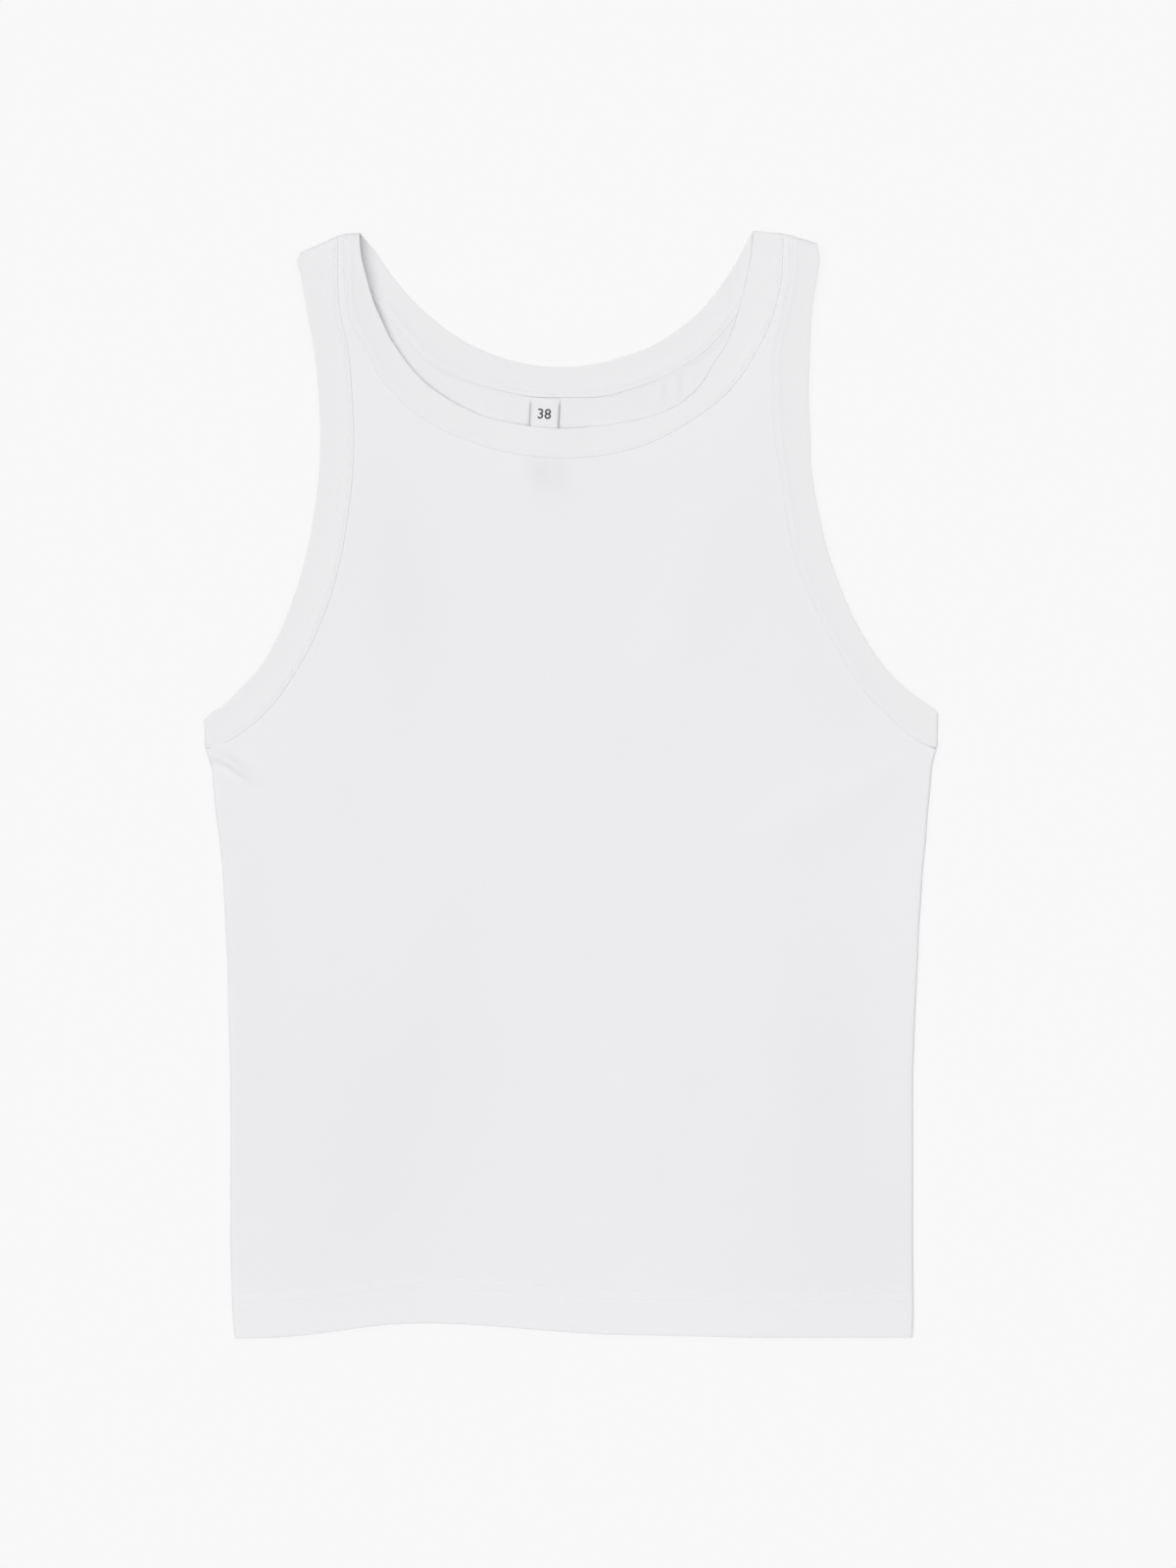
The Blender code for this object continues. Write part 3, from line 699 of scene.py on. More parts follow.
def neck_strips(cloth, rows, centre_row):
    """The left and right strips of the neck binding on one cloth."""
    edge, seam = (smooth_line(line) for line in edge_and_seam(rows))
    shares = np.linspace(0.0, 1.0, STRAP_STATIONS + 1)
    middle = centre_row * CURVE_STEPS
    left = Strip(cloth, edge[: middle + 1], seam[: middle + 1], shares, False)
    right = Strip(cloth, edge[middle:][::-1], seam[middle:][::-1], shares, False)
    return left, right


ARMHOLES = (LEFT_ARMHOLE, RIGHT_ARMHOLE)
front_arms = [armhole_strip(FRONT, rows, 0.0) for rows in ARMHOLES]
back_arms = [armhole_strip(BACK, rows, BACK_ARMHOLE_INSET) for rows in ARMHOLES]
front_necks = neck_strips(FRONT, FRONT_NECK, FRONT_NECK_CENTRE_ROW)
back_necks = neck_strips(BACK, BACK_NECK, BACK_NECK_CENTRE_ROW)
print("stations on an armhole:", len(front_arms[0].lines[0]))

# %% [markdown]
# ### The folded section
#
# The section is one closed loop: along the outer face from the seam to the fold,
# round the fold, back along the inner face, round the lip at the seam, and then
# along the two faces of the slit that the panel goes into. A ridge shows where the
# panel's raw edge ends inside, and a groove where the needle went through.
#
# The strip's width changes along its run, and the form by the seam must not change
# with it. So the points by the seam stand at fixed distances, and only those in the
# plain part of the strip at shares of the width.

# %% The section of a binding
LIP = 0.35 * MM
BINDING_STITCH = 1.9 * MM
BINDING_GROOVE = 0.06 * MM
BINDING_GROOVE_WIDTH = 0.5 * MM
RIDGE = 0.05 * MM
RIDGE_WIDTH = 0.7 * MM
LAST_LAYER_END = (SEAM_ALLOWANCE + 0.3 * MM, SEAM_ALLOWANCE + 2.4 * MM)

# The narrowest strip is 8.8 mm wide, so the first share lies past the last of these
NEAR_SEAM = np.array([0.35, 0.8, 1.3, 1.6, 1.9, 2.2, 2.5, 3.0, 3.4, 3.8, 4.3, 5.0, 6.0]) * MM
SHARES_TO_EDGE = np.linspace(0.72, 1.0, 5)

# The turns between the two ends of a half circle
HALF_ROUND = np.linspace(math.pi / 2, -math.pi / 2, 9)[1:-1]
LIP_TURNS = np.linspace(0.0, math.pi, 5)[1:-1]


def half_thickness(from_seam):
    """Three layers to the end of the seam allowance, then two, with a ridge and a stitch groove."""
    inside = ramp(from_seam, *LAST_LAYER_END)
    ridge = RIDGE * bell(from_seam - SEAM_ALLOWANCE, RIDGE_WIDTH)
    groove = BINDING_GROOVE * bell(from_seam - BINDING_STITCH, BINDING_GROOVE_WIDTH)
    return THREE_LAYERS - (THREE_LAYERS - TWO_LAYERS) * inside + ridge - groove


def section_parts():
    """For each point of the loop: share of the width, distance added, sign, depth under the face."""
    share = np.append(NEAR_SEAM * 0, SHARES_TO_EDGE)
    flat = np.column_stack([share, np.append(NEAR_SEAM, -TWO_LAYERS * SHARES_TO_EDGE)])
    slit = flat.copy()
    slit[len(NEAR_SEAM):, 1] *= 2.0
    fold = np.column_stack([HALF_ROUND * 0 + 1, TWO_LAYERS * (np.cos(HALF_ROUND) - 1)])
    fold_sign = np.where(HALF_ROUND >= 0, 1.0, -1.0)
    fold_depth = TWO_LAYERS * (1 - np.abs(np.sin(HALF_ROUND)))
    half = BINDING_JERSEY / 2
    lip = np.column_stack([LIP_TURNS * 0, LIP - half * np.sin(LIP_TURNS)])
    lip_depth = half * (1 - np.cos(LIP_TURNS))
    runs = (
        (flat, 1.0, 0.0),
        (fold, fold_sign, fold_depth),
        (flat[::-1], -1.0, 0.0),
        (lip, -1.0, lip_depth),
        (slit, -1.0, BINDING_JERSEY),
        (slit[::-1], 1.0, BINDING_JERSEY),
        (lip[::-1], 1.0, lip_depth[::-1]),
    )
    place = np.vstack([part for part, _, _ in runs])
    sign = np.concatenate([np.broadcast_to(value, len(part)) for part, value, _ in runs])
    depth = np.concatenate([np.broadcast_to(value, len(part)) for part, _, value in runs])
    return place[:, 0], place[:, 1], sign, depth


share_of_width, added, sign, depth = section_parts()
print("points in a binding's section:", len(sign))

# %% [markdown]
# ### Carrying the section round the ring
#
# At each station the section stands square to the strip. On the back the strip
# lies on the table, so what it loses in thickness it loses on the upper side. A
# binding is stretched a little as it is sewn, which leaves shallow swells along it.

# %% The stations of a ring
BLEND_STATIONS = 6


def ring_stations(front, back):
    """Edge and seam lines of the whole ring, and how far each station belongs to the back."""
    lines = [np.vstack([f, b[::-1][1:-1]]) for f, b in zip(front, back)]
    on_back = np.zeros(len(lines[0]))
    on_back[len(front[0]):] = 1.0
    soft = np.concatenate([on_back[-BLEND_STATIONS:], on_back, on_back[:BLEND_STATIONS]])
    window = 2 * BLEND_STATIONS + 1
    return lines[0], lines[1], np.convolve(soft, np.full(window, 1 / window), mode="valid")


def join_halves(left, right):
    """The two long lines of a neck strip's left and right halves as one run."""
    return [np.vstack([a, b[::-1][1:]]) for a, b in zip(left.lines, right.lines)]


front_neck_lines, back_neck_lines = join_halves(*front_necks), join_halves(*back_necks)
print("stations round the neck:", len(ring_stations(front_neck_lines, back_neck_lines)[0]))


# %% Making the rings
SWELL_HEIGHT = 0.04 * MM
SWELL_LENGTHS = (5.1 * MM, 8.7 * MM)
NECK_PHASE = 0.4
ARMHOLE_PHASES = (1.7, 2.9)


def swell(distance, phase):
    """Uneven shallow waves along a binding: two sines whose lengths don't fit each other."""
    short, long = SWELL_LENGTHS
    return SWELL_HEIGHT * (np.sin(distance / short + phase) + np.sin(distance / long + 2 * phase))


def ring_surface(front, back, share, add, height, phase):
    """Points at share * width + add from the seam, at a height square to the strip's middle.

    height is a function of the strip's half thickness there.
    """
    edge, seam, on_back = ring_stations(front, back)
    width = np.linalg.norm(edge - seam, axis=1)[:, None]
    position = share + add / width
    middle = seam[:, None] + (edge - seam)[:, None] * position[..., None]
    lengthwise = np.roll(middle, -1, axis=0) - np.roll(middle, 1, axis=0)
    normal = unit(np.cross(lengthwise, (seam - edge)[:, None]))
    normal *= np.sign(normal[len(front[0]) // 2, 0, 2])  # up on the front, so outwards all round
    from_seam = position * width
    thick = half_thickness(from_seam)
    up = height(thick) + on_back[:, None] * (THREE_LAYERS - thick)
    run = run_of(np.vstack([seam, seam[:1]]))
    wave = swell(run[:-1, None], phase) * np.sin(np.clip(position, 0.0, 1.0) * math.pi)
    points = middle + normal * (up + wave * (1 - on_back[:, None]))[..., None]
    points[..., 2] = np.maximum(points[..., 2], 0.0)
    return points, normal, run


def binding(name, front, back, phase):
    """A ring of folded strip, with its length and its unfolded width as a map of the cloth."""
    points, _, run = ring_surface(
        front, back, share_of_width, added, lambda thick: sign * (thick - depth), phase
    )
    shape = points.shape[:2]
    index = np.arange(shape[0] * shape[1]).reshape(shape)
    faces = cell_corners(np.pad(index, ((0, 1), (0, 1)), mode="wrap"))
    across = run_of(np.vstack([points[0], points[0, :1]]))
    cloth_map = np.stack(np.meshgrid(run, across, indexing="ij"), axis=-1)
    return make_piece(name, points.reshape(-1, 3), faces, uv=cell_corners(cloth_map))


neck_binding = binding("neck_ring", front_neck_lines, back_neck_lines, NECK_PHASE)
arm_bindings = [
    binding(name, front.lines, back.lines, phase)
    for name, front, back, phase in zip(
        ("armhole_ring_left", "armhole_ring_right"), front_arms, back_arms, ARMHOLE_PHASES
    )
]

# %% [markdown]
# ## Panels
#
# The front and the back are cut alike, and their grids run alike: from the top of
# the turned-up hem round the hem, up the side, up the armhole and over the
# shoulder. Where a panel meets a binding its raw edge goes on inside it, and there it
# takes the binding's height. Rows and columns stand closest where the cloth bends most.

# %% Rows and columns of a panel
HEM_TURNS = np.linspace(0.0, math.pi, 9)
TURNED_UP_ROWS = np.append(HEM_DEPTH, np.array([20.0, 14.0, 8.0, 3.0]) * MM)
BELOW_STITCHES = [3.0, 6.0, 9.0, 12.0, 15.0, 17.5]
AT_STITCHES = [18.2, 18.6, 18.9, 19.2, 19.6, 20.3, 22.0, 23.0, 23.6, 24.0, 24.3, 24.6, 25.0, 25.5, 26.2]
ABOVE_HEM = [27.0, 30.0, 34.0, 38.0, 42.0, 47.0]
OUTER_ROWS = np.array(BELOW_STITCHES + AT_STITCHES + ABOVE_HEM) * MM
BODY_ROWS = 84
PANEL_COLUMNS = 84
FIRST_PITCH = 0.62

# The share of a chest row that its first columns take up, at the underarm and the shoulder
EDGE_COLUMN_SHARES = (0.05, 0.25)

# Beside a binding the back cloth rises to the middle of the binding's layers
SANDWICH_CLEARANCE = 0.1 * MM
SANDWICH_RISE = BINDING_WALL / 2 - JERSEY / 2 + SANDWICH_CLEARANCE
SANDWICH_SLOPE = 4.5 * MM

# At the shoulder the panel is eased out to the bindings' seams over its last rows
SHOULDER_EASE = 0.3 * MM
BULGE_ROWS = 12


def crowded_to_start(count):
    """Shares t * (p + (1 - p) t) from 0 to 1, where p under 1 brings the first ones closer."""
    t = np.linspace(0.0, 1.0, count + 1)[1:]
    return t * (FIRST_PITCH + (1 - FIRST_PITCH) * t)


print("rows from the hem fold up:", len(OUTER_ROWS) + BODY_ROWS)


# %% Rows of the hem and the body
def body_row(cloth, side, centre_x, height_of_row, bend):
    """A row across the body: round the side fold and on to the centre line.

    bend is how far the row has come round the hem fold: 0 on the turned-up
    layer, pi on the outer layer, a layer's step above it. Also gives the wall's
    direction on the fold: outwards from its axis.
    """
    drop = LAYER_STEP * (1 + math.cos(bend)) / 2
    seam_y = height_of_row(side * HALF_WIDTH)
    outline = side_line(seam_y, side)
    top = front_level(outline - side * FOLD_READING, seam_y)
    radius = fold_radius(top, JERSEY)
    axis = outline - side * (JERSEY / 2 + radius)
    turn_x = axis + side * (radius - drop) * np.cos(FOLD_TURNS)
    flat_x = axis + (centre_x - axis) * crowded_to_start(PANEL_COLUMNS)
    flat_z = cloth.level(flat_x, height_of_row(flat_x)) - cloth.side * drop
    x = np.concatenate([turn_x, flat_x])
    z = np.concatenate([cloth.turn(top, JERSEY, FOLD_TURNS, SEAM_GAP, drop), flat_z])
    turning = FOLD_TURNS[:-1]
    direction = np.full((len(x), 3), np.nan)
    direction[: len(turning)] = np.column_stack([
        -cloth.side * side * math.cos(bend) * np.cos(turning),
        np.full(len(turning), -cloth.side * math.sin(bend)),
        -math.cos(bend) * np.sin(turning),
    ])
    return np.column_stack([x, height_of_row(x), z]), direction


def hem_and_body(cloth, side, centre_x):
    """The rows from the turned-up layer round the hem fold and up to the underarm."""
    rows = [(rise, 0.0) for rise in TURNED_UP_ROWS]
    fold = JERSEY / 2 + LAYER_STEP / 2 * (1 - np.sin(HEM_TURNS))
    rows += list(zip(fold, HEM_TURNS))
    rows += [(rise, math.pi) for rise in OUTER_ROWS]
    made = [
        body_row(cloth, side, centre_x, lambda x, rise=rise: hem_height(x) + rise, bend)
        for rise, bend in rows
    ]
    top = OUTER_ROWS[-1]
    for share in 1 - crowded_to_start(BODY_ROWS)[::-1][1:]:
        made.append(body_row(
            cloth, side, centre_x,
            lambda x, up=share: (hem_height(x) + top) * (1 - up) + UNDERARM_Y * up, math.pi,
        ))
    made.append(body_row(cloth, side, centre_x, lambda x: UNDERARM_Y + 0 * x, math.pi))
    return [row for row, _ in made], [direction for _, direction in made]


print("points from the side fold to the centre line:", len(FOLD_TURNS) + PANEL_COLUMNS)


# %% Rows of the chest
def chest_plan(outer, inner, seams_y):
    """Rows between two bindings in plan, and how far each point is from either one's end.

    The rows run straight from outer to inner. Up to the shoulder fold the last ones
    bulge between the bindings until they reach the line of the seams.
    """
    folds = len(FOLD_TURNS)
    last = len(outer)
    narrow, wide = EDGE_COLUMN_SHARES
    margin = (narrow + (wide - narrow) * ramp(np.arange(last), 0, last))[:, None]
    start = margin * np.linspace(0.0, 1.0, folds)
    steps = np.hstack([start, margin + (1 - margin) * crowded_to_start(PANEL_COLUMNS)])
    span = (inner - outer)[:, :2]
    plan = outer[:, None, :2] + span[:, None] * steps[..., None]
    width = np.linalg.norm(span, axis=1)[:, None]
    from_outer, from_inner = steps * width, (1 - steps) * width
    bulge = seams_y - (outer[-1, 1] + inner[-1, 1]) / 2 + SHOULDER_EASE
    between = ramp(from_outer, 0.0, SEAM_ALLOWANCE) * ramp(from_inner, 0.0, SEAM_ALLOWANCE)
    near_fold = ramp(np.arange(last), last - folds - BULGE_ROWS, last - folds)[:, None]
    plan[..., 1] += bulge * between * near_fold
    return plan, from_outer, from_inner


def lift_beside_seams(z, from_outer, from_inner, beside_neck):
    """Raises the back cloth by one even slope on to the under layer of each binding."""
    slope = (SEAM_ALLOWANCE, SEAM_ALLOWANCE + SANDWICH_SLOPE)
    by_armhole, by_neck = 1 - ramp(from_outer, *slope), 1 - ramp(from_inner, *slope)
    return z + SANDWICH_RISE * np.maximum(by_armhole, by_neck * beside_neck)


def meet_strips(z, from_outer, from_inner, outer_z, inner_z):
    """Brings the front cloth to each strip's height, in proportion to how far it is inside."""
    in_armhole = np.maximum(1 - from_outer / SEAM_ALLOWANCE, 0.0)
    in_neck = np.maximum(1 - from_inner / SEAM_ALLOWANCE, 0.0)
    return z + in_armhole * (outer_z - z[:, :1]) + in_neck * (inner_z - z[:, -1:])


def chest_rows(cloth, armhole, neck):
    """The rows from the underarm to the shoulder fold, out of one binding and into the other."""
    folds = len(FOLD_TURNS)
    neck_edge = neck.inside(SEAM_ALLOWANCE)[::-1]
    outer = armhole.inside(SEAM_ALLOWANCE)[::-1][folds - 1:]
    chest_y = np.linspace(UNDERARM_Y, neck_edge[0, 1], CHEST_STATIONS + 2)[1:-1]
    centre_x = neck_edge[0, 0]
    centre_line = np.column_stack([centre_x + 0 * chest_y, chest_y, cloth.level(centre_x, chest_y)])
    inner = np.vstack([centre_line, neck_edge])
    seams_y = (armhole.lines[1][0, 1] + neck.lines[1][0, 1]) / 2
    plan, from_outer, from_inner = chest_plan(outer, inner, seams_y)
    z = cloth.level(plan[..., 0], plan[..., 1])
    if cloth.side < 0:
        beside_neck = (np.arange(len(outer)) >= len(chest_y))[:, None]
        z = lift_beside_seams(z, from_outer, from_inner, beside_neck)
    else:
        z = meet_strips(z, from_outer, from_inner, outer[:, 2:], inner[:, 2:])
    ends = ((armhole, SEAM_ALLOWANCE), (armhole, 0.0), (neck, 0.0), (neck, SEAM_ALLOWANCE))
    strap_width = from_outer[-1, -1]
    places = [0.0, SEAM_ALLOWANCE, strap_width - SEAM_ALLOWANCE, strap_width]
    fold_top = np.interp(from_outer[-1], places, [strip.fold_top(depth) for strip, depth in ends])
    turn = FOLD_TURNS[:-1][::-1]
    in_fold = slice(len(outer) - folds + 1, None)
    z[in_fold] = cloth.turn(fold_top, BINDING_WALL, turn[:, None], SEAM_GAP)
    direction = np.full(plan.shape[:2] + (3,), np.nan)
    direction[in_fold] = np.column_stack([turn * 0, cloth.side * np.cos(turn), np.sin(turn)])[:, None]
    return np.concatenate([plan, z[..., None]], axis=-1), direction


print("beside a binding the back cloth rises", round(SANDWICH_RISE / MM, 3), "mm")

# %% [markdown]
# Three things change the whiteness of the jersey from place to place. Where it is
# doubled, in the hem, it lets less of the dark below through. Over the label it shows
# a faint grey patch. And painted shade makes it a little greyer: all over the back
# cloth, whose reverse, shown inside the neck, is also a little duller, and in a few
# broad places on the front. All are kept as numbers on the points, for the material.

# %% Making the panels
DOUBLED_END = (24.8 * MM, 25.6 * MM)
MERGE_DIGITS = 4
# The whole back cloth is a little greyer: its reverse is duller, and painted shade dims the inside of the
# neck
REVERSE_AND_PAINTED_SHADE = 0.016
FRONT_SHADE = (
    # x     y      half length, half width, direction, depth in thousandths
    # over the label
    (-17.5, 169.0, 10.0, 5.5, 90.0, 46.0),
    (-8.0, 168.0, 11.0, 8.0, 90.0, 34.0),
    # broad and faint painted shade, at the sides of the body and the chest
    (-112.0, -196.0, 110.0, 56.0, 84.0, 17.0),
    (150.0, -226.0, 120.0, 54.0, 96.0, 20.0),
    (-104.0, 118.0, 66.0, 36.0, 98.0, 14.0),
    (118.0, 128.0, 74.0, 40.0, 78.0, 9.0),
)


def panel(name, cloth, armholes, necks):
    """A front or back panel: two halves that share the centre line below the neck."""
    points, directions, faces = [], [], []
    for side, armhole, neck in zip((-1, 1), armholes, necks):
        centre_x = neck.inside(SEAM_ALLOWANCE)[-1, 0]
        body, body_directions = hem_and_body(cloth, side, centre_x)
        chest, chest_directions = chest_rows(cloth, armhole, neck)
        grid = np.concatenate([np.stack(body), chest])
        faces.append(grid_faces(grid.shape[:2])[:, ::side] + sum(len(part) for part in points))
        points.append(grid.reshape(-1, 3))
        directions.append(np.concatenate([np.stack(body_directions), chest_directions]).reshape(-1, 3))
    points, directions = np.vstack(points), np.vstack(directions)
    rounded = np.round(points / MM, MERGE_DIGITS)
    _, keep, merged = np.unique(rounded, axis=0, return_index=True, return_inverse=True)
    faces = merged.ravel()[np.vstack(faces)]
    points = points[keep]
    above_hem = points[:, 1] - hem_height(points[:, 0])
    on_front = cloth.side > 0
    # shaded holds painted shade, in broad places on the front and all over the back, and on the front the
    # label's grey patch too
    shaded = ridges(points[:, 0], points[:, 1], FRONT_SHADE) if on_front else REVERSE_AND_PAINTED_SHADE + 0 * above_hem
    marks = {"doubled": 1 - ramp(above_hem, *DOUBLED_END), "shaded": shaded}
    return sheet_body(name, points, faces, JERSEY, directions[keep], marks)


back_cloth = panel("back_cloth", BACK, back_arms, back_necks)
front_cloth = panel("front_cloth", FRONT, front_arms, front_necks)

# %% [markdown]
# ## Neck label
#
# A woven label is a short ribbon, folded into a loop and caught in the neck seam
# by both ends. It stands a little off the back cloth, so a thin shadow runs down
# each side, and at its top it dips to where the seam holds it. Its cut edges curl
# down, and a painted shadow darkens a band along each of them. It carries only a plain size number.

# %% The label's loop
LABEL_WIDTH = 16.0 * MM
LABEL_LENGTH = 48.0 * MM
LABEL_LEAN = math.radians(-3.0)
RIBBON = 0.3 * MM
RIBBON_LEVELS = (1.55 * MM, 1.05 * MM)
RIBBON_ROWS = 40
RIBBON_COLUMNS = 21
TUCK = 1.2 * MM
# Half width of the painted shadow along the label's long edges
EDGE_SHADOW_WIDTH = 0.7 * MM
LABEL_CURL = 0.16 * MM
LABEL_DIP = 0.45 * MM
LABEL_DIP_END = 3.0 * MM


def label_place(right, drop, height):
    """Right of the label's middle line and down from its top, leaned over, to x, y and z."""
    x = LABEL_TOP[0] + right * math.cos(LABEL_LEAN) + drop * math.sin(LABEL_LEAN)
    y = LABEL_TOP[1] + right * math.sin(LABEL_LEAN) - drop * math.cos(LABEL_LEAN)
    return np.stack(np.broadcast_arrays(x, y, height), axis=-1)


def ribbon_height(right, drop, level):
    """Level, less a curl at the long edges (a fourth power) and the dip into the seam."""
    curl = LABEL_CURL * (2 * right / LABEL_WIDTH) ** 4
    dip = LABEL_DIP * (1 - ramp(drop, 0.0, LABEL_DIP_END)) * (level / RIBBON_LEVELS[0])
    return level - curl - dip


def neck_label():
    """The loop: down the front of the ribbon, round its fold and up behind."""
    high, low = RIBBON_LEVELS
    radius = (high - low) / 2
    down = np.linspace(-TUCK, LABEL_LENGTH, RIBBON_ROWS)
    drop = np.concatenate([down, LABEL_LENGTH + radius * np.cos(HALF_ROUND), down[::-1]])[:, None]
    round_fold = (high + low) / 2 + radius * np.sin(HALF_ROUND)
    level = np.concatenate([down * 0 + high, round_fold, down * 0 + low])
    right = np.linspace(-0.5, 0.5, RIBBON_COLUMNS) * LABEL_WIDTH
    z = ribbon_height(right, drop, level[:, None])
    middle = label_place(right, drop, z).reshape(-1, 3)
    known = np.full(middle.shape, np.nan)
    faces = grid_faces(z.shape)
    # A painted shadow along each long edge, from below the dip downwards
    edge_shadow = bell(LABEL_WIDTH / 2 - np.abs(right), EDGE_SHADOW_WIDTH)
    marks = {"edge_painted_shadow": (edge_shadow * ramp(drop, 0.0, LABEL_DIP_END)).ravel()}
    return sheet_body("woven_label", middle, faces, RIBBON, known, marks)


label = neck_label()

# %% The size number, woven into it
NUMBER = "38"
NUMBER_HEIGHT = 5.6 * MM
NUMBER_DROP = 7.3 * MM
NUMBER_RELIEF = 0.03 * MM
BOLDNESS = 0.012


def size_number():
    """Text made into a mesh, then laid on the label with its middle at the number's place.

    The text is extruded only to give it two faces. They are then set just above and
    just below the ribbon's face.
    """
    text = bpy.data.curves.new("size_number", "FONT")
    text.body = NUMBER
    text.extrude = 0.5
    text.offset = BOLDNESS
    text.resolution_u = 3
    holder = in_scene("size_number", text)
    bpy.context.view_layer.update()
    evaluated = holder.evaluated_get(bpy.context.evaluated_depsgraph_get())
    mesh = bpy.data.meshes.new_from_object(evaluated)
    bpy.data.objects.remove(holder)
    flat = np.zeros(len(mesh.vertices) * 3)
    mesh.vertices.foreach_get("co", flat)
    flat = flat.reshape(-1, 3)
    low, high = flat.min(axis=0), flat.max(axis=0)
    flat = (flat - (low + high) / 2) * NUMBER_HEIGHT / (high - low)[1]
    right, up = flat[:, 0], flat[:, 1]
    face = ribbon_height(right, NUMBER_DROP - up, RIBBON_LEVELS[0]) + RIBBON / 2
    z = face + np.sign(flat[:, 2]) * NUMBER_RELIEF
    placed = label_place(right, NUMBER_DROP - up, z)
    mesh.vertices.foreach_set("co", placed.ravel())
    print("size number", NUMBER, "is", round((right.max() - right.min()) / MM, 1), "mm wide")
    return in_scene("size_number", mesh)


number = size_number()

# %% [markdown]
# ## Stitches
#
# Each stitch is a short bead of thread that sinks half into its groove. One bead is
# worked out once, and all of a row's beads are placed as one array: centre, way,
# side and up for each. Hand and machine leave no two alike, so each is turned and
# stretched a little, by seeded random numbers that come out the same each time.

# %% Rows of stitches
STITCH_PITCH = 2.7 * MM
STITCH_SIZE = np.array([2.1, 0.42, 0.26]) * MM
STITCH_UNEVENNESS = 0.05
WAY_REACH = 0.3 * MM
SIDES = 6
BEAD_RING = 0.72
LOWEST = 0.02 * MM
HEM_STITCH_ENDS = (-181.0 * MM, 182.0 * MM)
HEM_STITCH_POINTS = 400


def bead():
    """A long bead: three rings of radius sqrt(1 - t^2) at t along it, and a pole at each end."""
    t = np.repeat([-BEAD_RING, 0.0, BEAD_RING], SIDES)
    around = np.tile(np.arange(SIDES) * 2 * math.pi / SIDES, 3)
    radius = np.sqrt(1 - t**2)
    rings = np.column_stack([t, radius * np.cos(around), radius * np.sin(around)])
    points = np.vstack([rings, [[-1.0, 0.0, 0.0], [1.0, 0.0, 0.0]]])
    one = np.arange(SIDES)
    after = (one + 1) % SIDES
    south, north = 3 * SIDES, 3 * SIDES + 1
    triangles = [np.column_stack([one, after, one * 0 + south])]
    for ring in (0, SIDES):
        triangles.append(np.column_stack([one + ring, one + ring + SIDES, after + ring]))
        triangles.append(np.column_stack([after + ring, one + ring + SIDES, after + ring + SIDES]))
    triangles.append(np.column_stack([after + 2 * SIDES, one + 2 * SIDES, one * 0 + north]))
    return points, np.vstack(triangles)


def stitches(name, rows, seed):
    """Beads along several rows; a row is a line and the direction up from the cloth along it."""
    unevenness = np.random.default_rng(seed)
    shape, triangles = bead()
    placed = []
    for line, up in rows:
        at = np.arange(0.5, int(run_of(line)[-1] / STITCH_PITCH)) * STITCH_PITCH
        count = len(at)
        out = unit(carried(line, up, at))
        way = unit(along(line, at + WAY_REACH) - along(line, at - WAY_REACH))
        side = unit(np.cross(out, way))
        way = unit(way + side * unevenness.normal(0.0, STITCH_UNEVENNESS, (count, 1)))
        size = STITCH_SIZE * (1 + unevenness.normal(0.0, STITCH_UNEVENNESS, (count, 3)))
        axes = np.stack([way, side, out], axis=1) * size[..., None] / 2
        placed.append(along(line, at)[:, None] + np.einsum("pk,nkx->npx", shape, axes))
    placed = np.concatenate(placed)
    faces = triangles + (np.arange(len(placed)) * len(shape))[:, None, None]
    points = placed.reshape(-1, 3)
    points[:, 2] = np.maximum(points[:, 2], LOWEST)
    return make_piece(name, points, faces.reshape(-1, 3), sharp=180)


def binding_rows(front, back, phase):
    """The needle's line on the outer face all round, and on the inner face of the back."""
    place = (np.zeros(1), np.array([BINDING_STITCH]))
    outer, up, _ = ring_surface(front, back, *place, lambda thick: thick, phase)
    inner, _, _ = ring_surface(front, back, *place, lambda thick: -thick, phase)
    start = len(front[0]) + len(FOLD_TURNS)
    stop = -len(FOLD_TURNS)
    return [(outer[:, 0], up[:, 0]), (inner[start:stop, 0], -up[start:stop, 0])]


def hem_rows(cloth):
    """Two lines that follow the hem's wave on the outer face of the front or the back."""
    rows = []
    for rise in HEM_ROWS:
        x = np.linspace(*HEM_STITCH_ENDS, HEM_STITCH_POINTS)
        y = hem_height(x) + rise
        z = cloth.level(x, y) + cloth.side * JERSEY / 2
        rows.append((np.column_stack([x, y, z]), np.tile([0.0, 0.0, float(cloth.side)], (len(x), 1))))
    return rows


neck_stitching = stitches("neck_stitching", binding_rows(front_neck_lines, back_neck_lines, NECK_PHASE), 3)
arm_stitching = [
    stitches(name, binding_rows(front.lines, back.lines, phase), seed)
    for name, front, back, phase, seed in zip(
        ("armhole_stitching_left", "armhole_stitching_right"), front_arms, back_arms, ARMHOLE_PHASES, (4, 5)
    )
]
front_hem_stitching = stitches("front_hem_stitching", hem_rows(FRONT), 6)
back_hem_stitching = stitches("back_hem_stitching", hem_rows(BACK), 7)

# %% [markdown]
# ## Finishes
#
# A finish is a small tree of nodes. Writing it out node by node is long, so a
# socket is wrapped in a class that knows +, -, * and /: each adds the Math node
# that works it out, and its reflected form lets 1 - value work too. A Math node
# handles one number, so a colour is built from three of them, one for each part.

